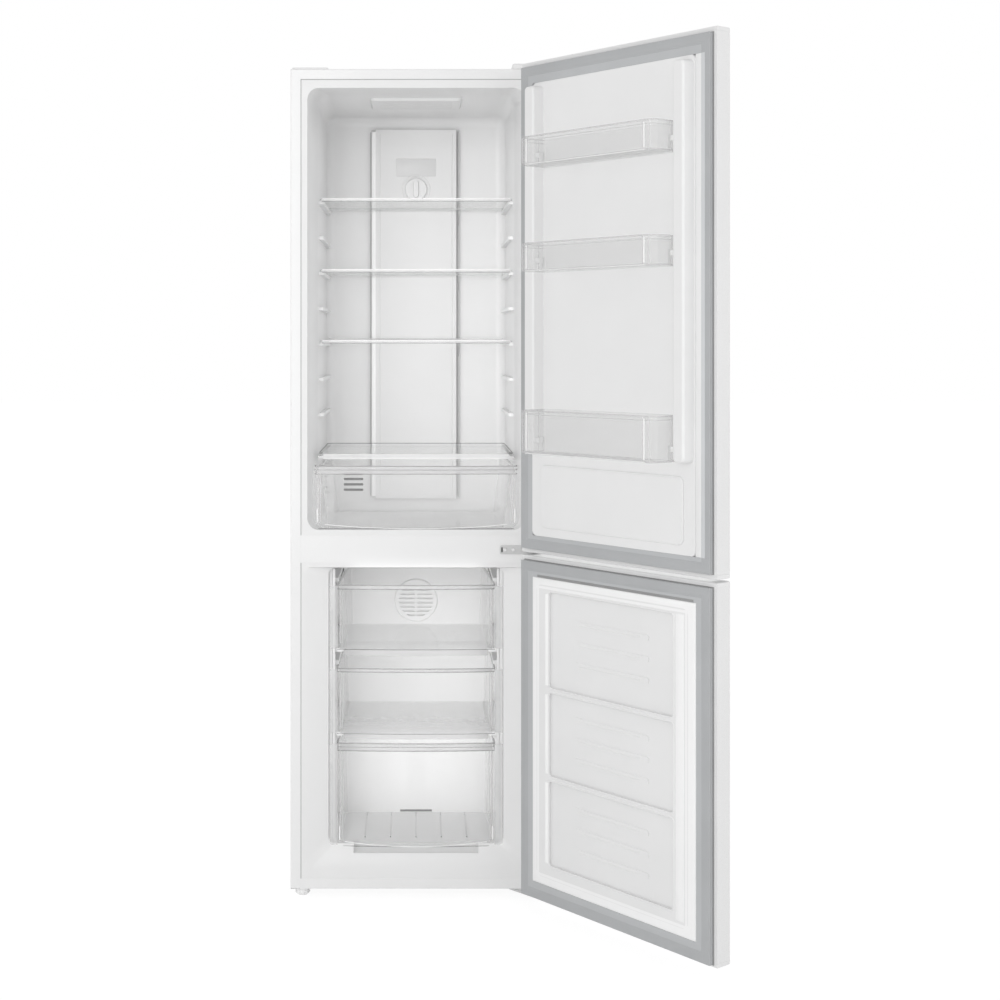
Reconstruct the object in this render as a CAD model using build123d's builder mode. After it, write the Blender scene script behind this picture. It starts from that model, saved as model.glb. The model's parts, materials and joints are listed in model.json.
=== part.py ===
"""A free-standing bottom freezer refrigerator with both doors swung open past square.

Millimetres. X points right, Y points back and Z points up. The origin is on the floor, below the
middle of the cabinet's front face.
"""

import os
from math import cos, radians, sin

from build123d import *

os.makedirs("parts", exist_ok=True)

# Cabinet
cabinet_width = 545.0
cabinet_height = 1800.0
cabinet_depth = 500.0
floor_gap = 20.0  # from the floor to the underside of the cabinet
sheet = 0.8  # steel of the wrapper, the back and the doors
liner_wall = 1.6
flange_width = 22.0  # the wrapper's front return
rail_middle = 757.5  # steel rail across the front, between the compartments
rail_height = 60.0
base_sheet = 1.2
bottom_return = 22.0

# Fresh food compartment: the foam around it, then its own shape
roof_foam = 48.0
side_foam = 55.5
back_foam = 70.0
fridge_floor_above_rail = 41.5
fridge_corner = 25.0
fridge_cove = 24.0
mouth_flare = 19.0  # how much wider the front opening is, on each side
mouth_rise = 7.0
mouth_depth = 60.0

# Freezer compartment
freezer_side_foam = 81.5
freezer_back_foam = 60.0
freezer_ceiling_below_rail = 43.5
freezer_floor_foam = 92.0
freezer_corner = 15.0
freezer_mouth_side = 29.5  # from the cabinet's side to the flared opening
freezer_mouth_drop = 48.0
freezer_mouth_rise = 4.0
freezer_mouth_depth = 22.0
step_top = 300.0  # the floor behind the lowest drawer
step_from_bay = 48.0
scoop_half = 136.0  # hollow in the floor's front edge, under the lowest drawer's lip
scoop_drop = 19.0
scoop_back = 70.0

# Machine bay behind the step
bay_top = 250.0
bay_depth = 190.0

# Beads pressed in the back sheet
bead_count = 3
bead_pitch = 150.0
bead_margin = 149.0
bead_width = 26.0
bead_depth = 1.2

# Return air slots and the two air channels in the foam between the compartments
return_slot_count = 5
return_slot_pitch = 13.0
return_slot_length = 48.0
return_slot_height = 6.0
return_channel_width = 64.0
return_channel_inset = 33.0  # from the compartment's side
supply_half = 60.0
supply_margin = 6.0
supply_outlet_low = 51.0  # above the compartment's floor
supply_outlet_high = 91.0
channel_depth = 20.0
channel_top = 121.0
channel_bend = 25.0  # from the compartment's floor down to the channels' bend

# Doors, shared by both
door_open = 128.5  # degrees from closed
door_thickness = 42.0
door_corner = 10.0
hinge_inset = 13.0  # hinge axis from the cabinet's side
hinge_setback = 31.0  # hinge axis in front of the door's inner plane
gasket_gap = 12.0  # inner plane to cabinet when shut
gasket_squash = 0.2
gasket_width = 21.5
gasket_margin = 9.0
gasket_lip = 3.0  # height of the lip and depth of the waist behind it
gasket_waist = 4.5
cap_height = 8.0
cap_wall = 2.5
cap_side = 3.0
cap_edge = 2.2
return_width = 12.0
door_overhang = 2.0  # over the roof
door_gap = 6.0  # between the doors
freezer_door_foot = 8.0  # from the cabinet's underside
gasket_end_margins = {"fridge_door": (10.0, 11.0), "freezer_door": (5.0, 9.5)}

# Fridge door liner: a plateau with two upright dykes that carry the bins
plateau_margin = 40.5  # from the door's side
plateau_height = 12.0
plateau_corner = 15.0
plateau_below = 4.0  # below the compartment's floor
plateau_above = 5.0  # above its ceiling
dyke_margin = 46.5
dyke_width = 34.0
dyke_height = 40.0
dyke_low = 975.0
dyke_top_gap = 12.0
dyke_corner = 11.0
dyke_taper = 4.0
dyke_round = 5.5
lower_panel_inset = 30.0
lower_panel_rise = 20.0
lower_panel_high = 952.0
lower_panel_corner = 14.0
lower_panel_height = 4.0
plateau_taper = 20.0

# Freezer door liner
freezer_bulge_margin = 52.5
freezer_bulge_height = 14.0
freezer_bulge_below = 34.0  # below the freezer's floor
freezer_bulge_above = 8.0  # below its ceiling
freezer_bulge_corner = 22.0
freezer_bulge_taper = 30.0
panel_margin = 45.0
panel_depth = 6.0
panel_low_margin = 35.0
panel_high_margin = 20.0
panel_gap = 8.0
panel_below_drawer = 55.0  # middle of the gap between two panels, below the drawer behind it
panel_corner = 8.0
panel_rib_count = 3
panel_rib_pitch = 42.0
panel_rib = (210.0, 12.0, 1.2)

# Door bins: underside and height
low_bin = (977.0, 90.0)
high_bin_height = 59.0
middle_bin_drop = 393.0  # from the dykes' tops
high_bin_drop = 174.0
bin_front = 87.0  # from the door's inner plane
bin_wall = 2.2
bin_corner = 18.0
bin_clearance = 0.3
bin_dyke_gap = 4.0
lug_reach = 4.0
lug_height = 10.0
lug_width = 12.0
lug_level = 20.0  # above the bin's underside
lug_setback = 28.0  # from the door's inner plane

# Hinges
pin_radius = 4.0
pin_clearance = 0.2
pin_length = 13.0
pin_end_gap = 3.0
boss_wall = 5.0
hinge_plate = 3.0
hinge_collar = 7.0
ear_radius = 10.0  # round end of each hinge arm
bracket_width = 46.0
bracket_front = 6.0
bracket_back = 68.0
bracket_edge = 4.5  # from the cabinet's side
bracket_corner = 4.0
bracket_step = 18.0
middle_bracket_half = 9.5
middle_bracket_reach = 40.0
hinge_slot = (3.0, 11.0)  # through the middle bracket's free end
hinge_slot_inset = 4.5
bottom_bracket_reach = 20.0

# Screws
screw_radius = 2.4
screw_head_radius = 4.5
screw_head = 2.2
screw_head_taper = 18.0
screw_length = 9.0
screw_margin = 11.0
screw_front = 16.0

# Roof covers: over the hinge, and a low blank one over the unused hinge holes
cover_edge = 1.0
cover_shell = 2.0
cover_side = 12.0
cover_corner = 5.0
cover_round = 3.0
hinge_cover_height = 12.0
blank_height = 3.4
blank_width = 78.0
blank_inset = 3.5

# Shelves
ledge_above_cover = 90.0
ledge_ceiling_room = 230.0
ledge_count = 7
ledge_thickness = 7.0
ledge_reach = 11.0
ledge_front = 104.0
ledge_tip = 7.0  # round of each ledge's front corner
cover_ledge_front = 66.0
glass_thickness = 4.0
glass_clearance = 2.5
duct_clearance = 2.0
shelf_front = 94.0
shelf_corner = 6.0
trim_height = 6.0
trim_depth = 10.0
trim_wall = 2.0
trim_inset = 4.0
trim_round = 1.4

# Crisper
crisper_cover_rise = 159.0
crisper_cover_front = 20.0
crisper_cover_brim = 7.0  # how far the trim hangs below the glass
crisper_trim_depth = 18.0
crisper_pad = (16.0, 40.0)  # corner pads under the cover's trim
crisper_front = 16.0
crisper_back_gap = 6.0
crisper_side_gap = 3.0
crisper_narrowing = 4.0
crisper_height = 138.0
crisper_clearance = 0.05
crisper_wall = 2.4
crisper_draft = 18.0
crisper_corner = 28.0
crisper_bow = 5.0
crisper_face_gap = 6.0  # its front plate to the flared opening
crisper_face_rise = 2.0
crisper_face_thickness = 3.0

# Freezer drawers
drawer_front = 20.0
drawer_side_gap = 17.0
drawer_wall = 2.2
drawer_bow = 8.0
drawer_corner = 12.0
drawer_draft = 4.0
drawer_back_gap = 6.0
drawer_floor_gap = 2.0
drawer_gap_low = 19.0  # between the lowest and the middle drawer
drawer_gap_high = 40.0
drawer_ceiling_gap = 37.0
lower_drawer_height = 218.0
middle_drawer_height = 144.0
drawer_narrowing = {"lower": 6.0, "middle": 4.0, "upper": 14.0}
rim_drop = 9.0  # depth of the folded-over rim of the drawers and the crisper
rim_reach = 3.0
rim_slit = 0.2
runner_reach = 33.0
runner_thickness = 8.0
runner_front = 40.0
runner_tip = 6.0
stop_gap = 3.0  # from each drawer's rim to the rib that keeps it from tipping
stop_overlap = 4.0
stop_setback = 10.0
skid_half_width = 15.0
skid_x = 135.0
lip_half = 126.0  # handle lip under the lowest drawer's front
lip_drop = 8.0
lip_thickness = 3.0
lip_setback = 9.0

# Air duct cover on the back of the fresh food compartment
duct_half = 108.0
duct_bevel = 11.0
duct_depth = 16.0
duct_wall = 2.0
duct_foot = 29.0  # above the compartment's floor
duct_head = 30.0  # below its ceiling
duct_line_inset = 11.0
duct_line_width = 2.0
outlet_drop = 20.0  # outlets in the bevels, below each shelf
outlet_size = (6.0, 24.0)
knob_drop = 175.0
knob_radius = 27.0
knob_height = 14.0
knob_gap = 0.3
knob_shaft = 4.0
knob_grip_width = 13.0
knob_draft = 7.0
dial_ring = (35.0, 32.5)
shutter_radius = 30.0
shutter_wall = 1.6
shutter_slot_circle = 19.0
shutter_slot = (20.0, 9.0)
window_half = 49.0
window_drop = 144.0  # from the ceiling to the window's lower edge
window_height = 44.0
window_corner = 4.0

# Ceiling lamp
lamp_half = 104.0
lamp_front = 100.0
lamp_back = 258.0
lamp_height = 6.0
lamp_corner = 14.0
lamp_draft = 35.0
lens_half = 82.0
lens_margin = 20.0
lens_wall = 2.5
lens_corner = 6.0

# Cooling parts behind the freezer
cover_to_back = 84.0
cover_wall = 2.4
cover_clearance = 0.3
fan_level = 591.0
fan_radius = 46.0
grille_radius = 40.0
grille_ring = 12.0
grille_height = 4.0
grille_pitch = 10.0
grille_slots = 9
grille_draft = 35.0
grille_bar = 6.0
top_vent = (120.0, 8.0)
top_vent_pitch = 150.0
top_vent_drop = 26.0
low_vent = (8.0, 22.0)
low_vent_count = 12
low_vent_pitch = 26.0
coil_low = 336.0
coil_high = 500.0
coil_gap = 16.0  # to the cover, and 12 to the liner's back
coil_back_gap = 12.0
coil_side_gap = 26.0
fin_count = 6
fin_thickness = 0.8
tube_rows = 3
tube_radius = 4.0
tube_end = 16.0
heater_level = 318.0
heater_radius = 5.0
heater_reach = 8.0
drain_radius = 8.0
drain_wall = 1.5
drain_setback = 40.0

# Fan
blade_count = 5
motor_gap = 28.0  # behind the cover's front
motor_length = 24.0
motor_radius = 21.0
hub_gap = 10.0
hub_length = 15.0
hub_radius = 16.0
hub_wall = 3.0
shaft_radius = 2.0
post_circle = 54.0
post_radius = 4.0
root_blade = (17.0, 3.0, 38.0)  # chord, camber height and pitch
tip_blade = (34.0, 4.0, 20.0)
blade_thickness = 1.6

# Machine bay parts
compressor_x = -60.0
compressor_setback = 95.0
compressor_radius = 68.0
compressor_height = 160.0
compressor_foot = 2.5
compressor_dome = 26.0
compressor_shoulder = 44.0
compressor_brow = (12.0, 14.0)
compressor_bevel = 24.0
seam_level = 78.0
seam_size = 4.0
grommet_height = 12.0
grommet_radius = 11.0
grommet_taper = 14.0
grommet_pin = 4.0
mount_half = (62.0, 48.0)
mount_margin = 14.0
tray_half = (80.0, 60.0)
tray_height = 26.0
tray_wall = 1.8
tray_draft = 5.0
tray_corner = 13.0
terminal_box_size = (46.0, 52.0, 50.0)
terminal_box_place = (72.0, 26.0, 20.0)  # from the compressor's middle and foot
stub_level = 90.0  # of the compressor's two pipe stubs, above its foot plate
stub_reach = 78.0
stub_setback = 35.0  # in front of the compressor's middle

# Cord gland in the base plate's rear upstand
gland_x = 150.0
gland_rise = 40.0
gland_radius = 7.0
gland_bore = 4.0
gland_flange = 3.5
gland_reach = 8.0
upstand_half = 50.0
upstand_above_gland = 20.0

# Heat pipes, a loop inside each side wall
pipe_radius = 2.5
pipe_bend = 24.0
pipe_clearance = 1.0  # of the notches that the pipes pass through
pipe_spacing = 110.0
pipe_high = 1500.0
pipe_foot = 142.0

# Feet and rollers
foot_inset = 24.5
foot_y = 30.0
foot_radius = 16.3
foot_height = 16.5
foot_round = 5.0
grip_count = 10
grip_radius = 1.8
grip_level = 6.0
stem_radius = 4.0
stem_top = 44.0
stem_clearance = 2.0
roller_radius = 15.0
roller_width = 18.0
roller_inset = 47.5
roller_setback = 30.0
roller_dish = 4.0
roller_rim = 3.5
roller_room = 3.0
axle_radius = 3.0
cheek_gap = 0.4
cheek_wall = 2.0
cheek_radius = 8.0

# Worked out from the sizes above
shell_half = cabinet_width / 2 - sheet
flange_half = cabinet_width / 2 - flange_width
base_top = floor_gap + base_sheet
liner_front = sheet + liner_wall
fridge_floor = rail_middle + fridge_floor_above_rail
fridge_ceiling = cabinet_height - roof_foam
fridge_half = cabinet_width / 2 - side_foam
fridge_back = cabinet_depth - back_foam
mouth_half = fridge_half + mouth_flare
mouth_top = fridge_ceiling + mouth_rise
freezer_floor = floor_gap + freezer_floor_foam
freezer_ceiling = rail_middle - freezer_ceiling_below_rail
freezer_half = cabinet_width / 2 - freezer_side_foam
freezer_back = cabinet_depth - freezer_back_foam
freezer_mouth_half = cabinet_width / 2 - freezer_mouth_side
freezer_mouth_low = freezer_floor - freezer_mouth_drop
freezer_mouth_top = freezer_ceiling + freezer_mouth_rise
bay_front = cabinet_depth - bay_depth
step_front = bay_front - step_from_bay
bead_length = cabinet_height - bay_top - 2 * bead_margin
return_channel = (-fridge_half + return_channel_inset,
                  -fridge_half + return_channel_inset + return_channel_width)
return_slots = [(sum(return_channel) / 2, fridge_floor + 49 + return_slot_pitch * step)
                for step in range(return_slot_count)]

hinge_x = cabinet_width / 2 - hinge_inset
hinge_y = -(gasket_gap + hinge_setback)
door_inner = -hinge_setback
door_outer = door_thickness - hinge_setback
door_middle = cabinet_width / 2 - hinge_inset
middle_level = rail_middle - 1.5
fridge_door_low = middle_level + door_gap / 2
fridge_door_high = cabinet_height + door_overhang
freezer_door_low = floor_gap + freezer_door_foot
freezer_door_high = middle_level - door_gap / 2
plateau_half = cabinet_width / 2 - plateau_margin
plateau_low = fridge_floor - plateau_below
plateau_high = fridge_ceiling + plateau_above
dyke_half = cabinet_width / 2 - dyke_margin
dyke_high = plateau_high - dyke_top_gap
freezer_bulge_half = cabinet_width / 2 - freezer_bulge_margin
freezer_bulge_low = freezer_floor - freezer_bulge_below
freezer_bulge_high = freezer_ceiling - freezer_bulge_above
panel_half = freezer_bulge_half - panel_margin
bin_half = dyke_half - dyke_width - bin_dyke_gap
bin_places = (low_bin, (dyke_high - middle_bin_drop, high_bin_height),
              (dyke_high - high_bin_drop, high_bin_height))
bracket_right = cabinet_width / 2 - bracket_edge
bracket_left = bracket_right - bracket_width

shelf_back = fridge_back - duct_depth - duct_clearance
shelf_half = fridge_half - glass_clearance
ledge_inner = fridge_half - ledge_reach
crisper_cover_level = fridge_floor + crisper_cover_rise
ledge_lowest = crisper_cover_level + ledge_above_cover
ledge_pitch = (fridge_ceiling - ledge_ceiling_room - ledge_lowest) / (ledge_count - 1)
ledge_levels = [ledge_lowest + ledge_pitch * step for step in range(ledge_count)]
shelf_levels = ledge_levels[2::2]
crisper_half = fridge_half - crisper_side_gap
crisper_back = shelf_back - crisper_back_gap + duct_clearance

cover_plane = freezer_back - cover_to_back
drawer_half = freezer_half - drawer_side_gap
lower_drawer_low = freezer_floor + drawer_floor_gap
middle_drawer_low = lower_drawer_low + lower_drawer_height + drawer_gap_low
upper_drawer_low = middle_drawer_low + middle_drawer_height + drawer_gap_high
drawer_places = {  # underside, height and back
    "lower": (lower_drawer_low, lower_drawer_height, step_front - drawer_back_gap),
    "middle": (middle_drawer_low, middle_drawer_height, cover_plane - drawer_back_gap),
    "upper": (upper_drawer_low, freezer_ceiling - drawer_ceiling_gap - upper_drawer_low,
              cover_plane - drawer_back_gap),
}
runner_inner = freezer_half - runner_reach
panel_splits = [low - panel_below_drawer for low in (middle_drawer_low, upper_drawer_low)]
panel_lows = [freezer_bulge_low + panel_low_margin] + [split + panel_gap / 2 for split in panel_splits]
panel_highs = [split - panel_gap / 2 for split in panel_splits] + [freezer_bulge_high - panel_high_margin]

duct_low = fridge_floor + duct_foot
duct_high = fridge_ceiling - duct_head
duct_face = fridge_back - duct_depth
knob_level = fridge_ceiling - knob_drop
window_low = fridge_ceiling - window_drop
lens_front = lamp_front + lens_margin
lens_back = lamp_back - lens_margin

coil_front = cover_plane + coil_gap
coil_back = freezer_back - coil_back_gap
coil_y = (coil_front + coil_back) / 2
coil_half = freezer_half - coil_side_gap
tube_pitch = (coil_high - coil_low) / tube_rows
motor_front = cover_plane + motor_gap
hub_front = cover_plane + hub_gap
hub_back = hub_front + hub_length
drain_y = freezer_back - drain_setback
compressor_y = cabinet_depth - compressor_setback
can_low = base_top + grommet_height
tray_low = can_low + compressor_height
stub_y = compressor_y - stub_setback
gland_level = floor_gap + gland_rise
foot_x = cabinet_width / 2 - foot_inset
roller_x = cabinet_width / 2 - roller_inset
roller_y = cabinet_depth - roller_setback
axle_half = roller_width / 2 + cheek_gap + cheek_wall + 1.5


def front(y=0.0):
    """A plane that faces the user at depth y. Its sketch axes are x and z, and minus goes back."""
    return Plane.XZ.offset(-y)


def level(z):
    return Plane.XY.offset(z)


def side(x):
    """A plane across the cabinet at x. Its sketch axes are y and z."""
    return Plane.YZ.offset(x)


def door_direction(along, outward):
    """A direction in the open door: along its width to the free edge, and out of its front face."""
    turn = radians(door_open)
    return Vector(-along * cos(turn) + outward * sin(turn), -along * sin(turn) - outward * cos(turn))


def door_level(z):
    """A level plane in the door's own axes, with its origin on the hinge axis."""
    return Plane((hinge_x, hinge_y, z), x_dir=door_direction(1, 0), z_dir=(0, 0, 1))


def door_face(v):
    """A plane along the door, v in front of the hinge axis. Plus goes into the cabinet when shut."""
    origin = Vector(hinge_x, hinge_y) + door_direction(0, v)
    return Plane(origin, x_dir=door_direction(1, 0), z_dir=door_direction(0, -1))


def span(x0, x1, y0, y1, mode=Mode.ADD, radius=0.0):
    """A rectangle between two corners of the sketch."""
    with Locations(((x0 + x1) / 2, (y0 + y1) / 2)):
        if radius:
            RectangleRounded(abs(x1 - x0), abs(y1 - y0), radius, mode=mode)
        else:
            Rectangle(abs(x1 - x0), abs(y1 - y0), mode=mode)


def save(name, builder):
    builder.part.label = name
    export_step(builder.part, f"parts/{name}.step")


# The spaces inside the two liners. Grown by the liner's wall they give its outside.
def fridge_space(grow):
    with BuildPart() as space:
        with BuildSketch(front(mouth_depth + grow)):
            span(-fridge_half - grow, fridge_half + grow, fridge_floor - grow, fridge_ceiling + grow,
                 radius=fridge_corner + grow)
        extrude(amount=-(fridge_back - mouth_depth))
        fillet(space.faces().sort_by(Axis.Y)[-1].edges(), fridge_cove + grow)
        with BuildSketch(front(mouth_depth + grow)):
            span(-fridge_half - grow, fridge_half + grow, fridge_floor - grow, fridge_ceiling + grow,
                 radius=fridge_corner + grow)
        with BuildSketch(front(sheet)):
            span(-mouth_half - grow, mouth_half + grow, fridge_floor - grow, mouth_top + grow,
                 radius=fridge_corner + grow)
        loft(ruled=True)
    return space.part


def freezer_space(grow):
    with BuildPart() as space:
        with BuildSketch(front(freezer_mouth_depth + grow)):
            span(-freezer_half - grow, freezer_half + grow, freezer_floor - grow,
                 freezer_ceiling + grow, radius=freezer_corner + grow)
        extrude(amount=-(step_front - freezer_mouth_depth))
        with BuildSketch(front(step_front - freezer_corner)):
            span(-freezer_half - grow, freezer_half + grow, step_top - grow, freezer_ceiling + grow,
                 radius=freezer_corner + grow)
        extrude(amount=-(freezer_back - step_front + freezer_corner + grow))
        with BuildSketch(front(freezer_mouth_depth + grow)):
            span(-freezer_half - grow, freezer_half + grow, freezer_floor - grow,
                 freezer_ceiling + grow, radius=freezer_corner + grow)
        with BuildSketch(front(sheet)):
            span(-freezer_mouth_half - grow, freezer_mouth_half + grow, freezer_mouth_low - grow,
                 freezer_mouth_top + grow, radius=freezer_corner + grow)
        loft(ruled=True)
        with BuildSketch(side(-scoop_half - grow)):
            with BuildLine():
                Polyline((freezer_mouth_depth / 2, freezer_floor - scoop_drop - grow),
                         (freezer_mouth_depth * 1.6, freezer_floor - scoop_drop - grow),
                         (scoop_back + grow, freezer_floor), (freezer_mouth_depth / 2, freezer_floor),
                         close=True)
            make_face()
        extrude(amount=2 * (scoop_half + grow))
    return space.part


fridge_inside = fridge_space(0.0)
fridge_outside = fridge_space(liner_wall)
freezer_inside = freezer_space(0.0)
freezer_outside = freezer_space(liner_wall)

# Screw places, shared by the brackets, the screws and what they bite into
screw_right = bracket_right - screw_margin
screw_back = bracket_back - screw_margin
top_screws = [(bracket_left + screw_margin, bracket_front + screw_front),
              (bracket_left + screw_margin, screw_back), (screw_right, screw_back)]
middle_screws = [(bracket_left - middle_bracket_reach + screw_margin, middle_level),
                 (bracket_left - screw_margin, middle_level)]
bottom_screws = [(bracket_left - bottom_bracket_reach + screw_margin, bracket_front + screw_front),
                 (bracket_left - bottom_bracket_reach + screw_margin, screw_back),
                 (screw_right, screw_back)]
top_plane = level(cabinet_height + hinge_plate)
middle_plane = front(-hinge_plate)
bottom_plane = Plane.XY.offset(floor_gap - hinge_plate).rotated((180, 0, 0))


with BuildPart() as screw_shanks:
    for plane, places in ((top_plane, top_screws), (middle_plane, middle_screws),
                          (bottom_plane, [(x, -y) for x, y in bottom_screws])):
        with BuildSketch(plane):
            with Locations(*places):
                Circle(screw_radius)
        extrude(amount=-screw_length)


# Steel wrapper: sides and roof in one bent sheet, with a return round the front
def wrapper_outline(inset, mode=Mode.ADD):
    with Locations((0, floor_gap)):
        Rectangle(cabinet_width - 2 * inset, cabinet_height - floor_gap - inset,
                  align=(Align.CENTER, Align.MIN), mode=mode)


with BuildPart() as cabinet_shell:
    for inset, depth in ((sheet, cabinet_depth), (flange_width, sheet)):
        with BuildSketch(front()):
            wrapper_outline(0)
            wrapper_outline(inset, Mode.SUBTRACT)
        extrude(amount=-depth)
    add(screw_shanks.part, mode=Mode.SUBTRACT)
save("cabinet_shell", cabinet_shell)

# Hot gas and suction pipes: a serpentine inside each side wall, joined through the machine bay


def pipe(points):
    with BuildPart() as run:
        with BuildLine() as path:
            FilletPolyline(*points, radius=pipe_bend)
        with BuildSketch(Plane(path.line @ 0, z_dir=path.line % 0)):
            Circle(pipe_radius)
        sweep(path=path.line)
    return run.part


def serpentine(flip):
    """From the compressor's stub to the side wall, up it, forward and down again."""
    x = flip * (shell_half - pipe_radius)
    stub = (compressor_x + flip * stub_reach, stub_y, can_low + stub_level)
    fore = stub_y - 2 * pipe_spacing
    return [stub, (x, stub_y, stub[2]), (x, stub_y, pipe_high), (x, fore, pipe_high), (x, fore, pipe_foot)]


with BuildPart() as condenser_pipes:
    add(pipe(serpentine(-1)))
    add(pipe(serpentine(1)))
save("condenser_pipes", condenser_pipes)

# Back sheet, folded in over the machine bay
with BuildPart() as cabinet_back:
    with BuildSketch(side(-shell_half)):
        span(cabinet_depth - sheet, cabinet_depth, bay_top, cabinet_height - sheet)
        span(bay_front - sheet, cabinet_depth, bay_top, bay_top + sheet)
        span(bay_front - sheet, bay_front, base_top, bay_top + sheet)
    extrude(amount=2 * shell_half)
    with BuildSketch(front(cabinet_depth)):
        with GridLocations(bead_pitch, 0, bead_count, 1):
            with Locations((0, (bay_top + cabinet_height) / 2)):
                SlotOverall(bead_length, bead_width, rotation=90)
    extrude(amount=-bead_depth)
    with BuildSketch(level(bay_top)):
        with Locations((0, drain_y)):
            Circle(drain_radius)
        with Locations((0, stub_y)):
            with GridLocations(2 * shell_half, 0, 2, 1):
                Rectangle(4 * pipe_radius + pipe_clearance, 2 * pipe_radius + pipe_clearance)
    extrude(amount=sheet, mode=Mode.SUBTRACT)
save("cabinet_back", cabinet_back)

# Front rail between the compartments
with BuildPart() as centre_rail:
    with BuildSketch(front()):
        span(-flange_half, flange_half, rail_middle - rail_height / 2, rail_middle + rail_height / 2)
    extrude(amount=-sheet)
    add(screw_shanks.part, mode=Mode.SUBTRACT)
save("centre_rail", centre_rail)


def air_channels(grow):
    """The two ways through the foam between the compartments."""
    with BuildPart() as channels:
        with BuildSketch(front(fridge_back + liner_wall)):
            span(*return_channel, freezer_ceiling + liner_wall, fridge_floor + channel_top)
            span(-supply_half, supply_half, freezer_ceiling + liner_wall, fridge_floor + channel_top)
        extrude(amount=-channel_depth)
        with BuildSketch(front(freezer_back - channel_depth)):
            span(*return_channel, freezer_ceiling + grow, fridge_floor - channel_bend)
            span(-supply_half, supply_half, freezer_ceiling + grow, fridge_floor - channel_bend)
        extrude(amount=-channel_depth)
    return channels.part


def ledge(flip, front_y, top):
    """A shelf ledge on one side wall, with a rounded front corner. Its top is at the given level."""
    wall = flip * (fridge_half + liner_wall / 2)
    with BuildPart() as bar:
        with BuildSketch(level(top - ledge_thickness)) as plan:
            span(flip * ledge_inner, wall, front_y, shelf_back)
            fillet(plan.vertices().sort_by(Axis.Y)[:2].sort_by(Axis.X)[0 if flip > 0 else -1], ledge_tip)
        extrude(amount=ledge_thickness)
    return bar.part


# Fresh food liner
with BuildPart() as fridge_liner:
    add(fridge_outside)
    with BuildSketch(front(sheet)):
        span(-shell_half, shell_half, rail_middle, cabinet_height - sheet)
    extrude(amount=-liner_wall)
    add(fridge_inside, mode=Mode.SUBTRACT)
    for flip in (-1, 1):
        for z in ledge_levels:
            add(ledge(flip, ledge_front, z))
        add(ledge(flip, cover_ledge_front, crisper_cover_level))
    with BuildSketch(front(fridge_back)):
        with Locations(*return_slots):
            SlotOverall(return_slot_length, return_slot_height)
        span(-supply_half + supply_margin, supply_half - supply_margin,
             fridge_floor + supply_outlet_low, fridge_floor + supply_outlet_high)
    extrude(amount=-liner_wall, mode=Mode.SUBTRACT)
    add(screw_shanks.part, mode=Mode.SUBTRACT)
save("fridge_liner", fridge_liner)

# Freezer liner, with runners for the drawers
with BuildPart() as freezer_liner:
    add(freezer_outside)
    with BuildSketch(front(sheet)):
        span(-shell_half, shell_half, base_top, rail_middle)
    extrude(amount=-liner_wall)
    add(freezer_inside, mode=Mode.SUBTRACT)
    for flip in (-1, 1):
        wall = flip * (freezer_half + liner_wall / 2)
        for word in ("middle", "upper"):
            with BuildSketch(level(drawer_places[word][0] - runner_thickness)) as plan:
                span(flip * runner_inner, wall, runner_front, cover_plane - drawer_back_gap)
                inner_corner = plan.vertices().sort_by(Axis.Y)[:2].sort_by(Axis.X)[0 if flip > 0 else -1]
                chamfer(inner_corner, runner_tip)
            extrude(amount=runner_thickness)
        for low, height, back in drawer_places.values():
            with BuildSketch(level(low + height + stop_gap)):
                span(flip * (drawer_half - stop_overlap), wall, runner_front + stop_setback, back)
            extrude(amount=runner_thickness)
        with BuildSketch(level(freezer_floor)):
            span(flip * (skid_x - skid_half_width), flip * (skid_x + skid_half_width),
                 scoop_back + liner_wall, step_front - freezer_corner)
        extrude(amount=drawer_floor_gap)
    with BuildSketch(level(freezer_ceiling)):
        for x0, x1 in (return_channel, (-supply_half, supply_half)):
            span(x0 + supply_margin, x1 - supply_margin, freezer_back - channel_depth + liner_wall,
                 freezer_back - freezer_corner)
    extrude(amount=liner_wall, mode=Mode.SUBTRACT)
    with BuildSketch(level(step_top - liner_wall)):
        with Locations((0, drain_y)):
            Circle(drain_radius)
    extrude(amount=liner_wall, mode=Mode.SUBTRACT)
    add(screw_shanks.part, mode=Mode.SUBTRACT)
save("freezer_liner", freezer_liner)

# Insulation poured between the wrapper and the liners
with BuildPart() as cabinet_insulation:
    with BuildSketch(front(liner_front)):
        span(-shell_half, shell_half, base_top, cabinet_height - sheet)
    extrude(amount=-(cabinet_depth - sheet - liner_front))
    with BuildSketch(side(-shell_half)):
        span(bay_front - sheet, cabinet_depth, base_top, bay_top + sheet)
    extrude(amount=2 * shell_half, mode=Mode.SUBTRACT)
    for hollow in (fridge_outside, freezer_outside, air_channels(liner_wall), condenser_pipes.part):
        add(hollow, mode=Mode.SUBTRACT)
    with BuildSketch(level(bay_top)):
        with Locations((0, drain_y)):
            Circle(drain_radius)
    extrude(amount=step_top - bay_top, mode=Mode.SUBTRACT)
    with BuildSketch(level(base_top)):
        with Locations((-foot_x, foot_y), (foot_x, foot_y)):
            Circle(stem_radius + stem_clearance)
    extrude(amount=stem_top - base_top + stem_clearance, mode=Mode.SUBTRACT)
    add(screw_shanks.part, mode=Mode.SUBTRACT)
save("cabinet_insulation", cabinet_insulation)

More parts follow.
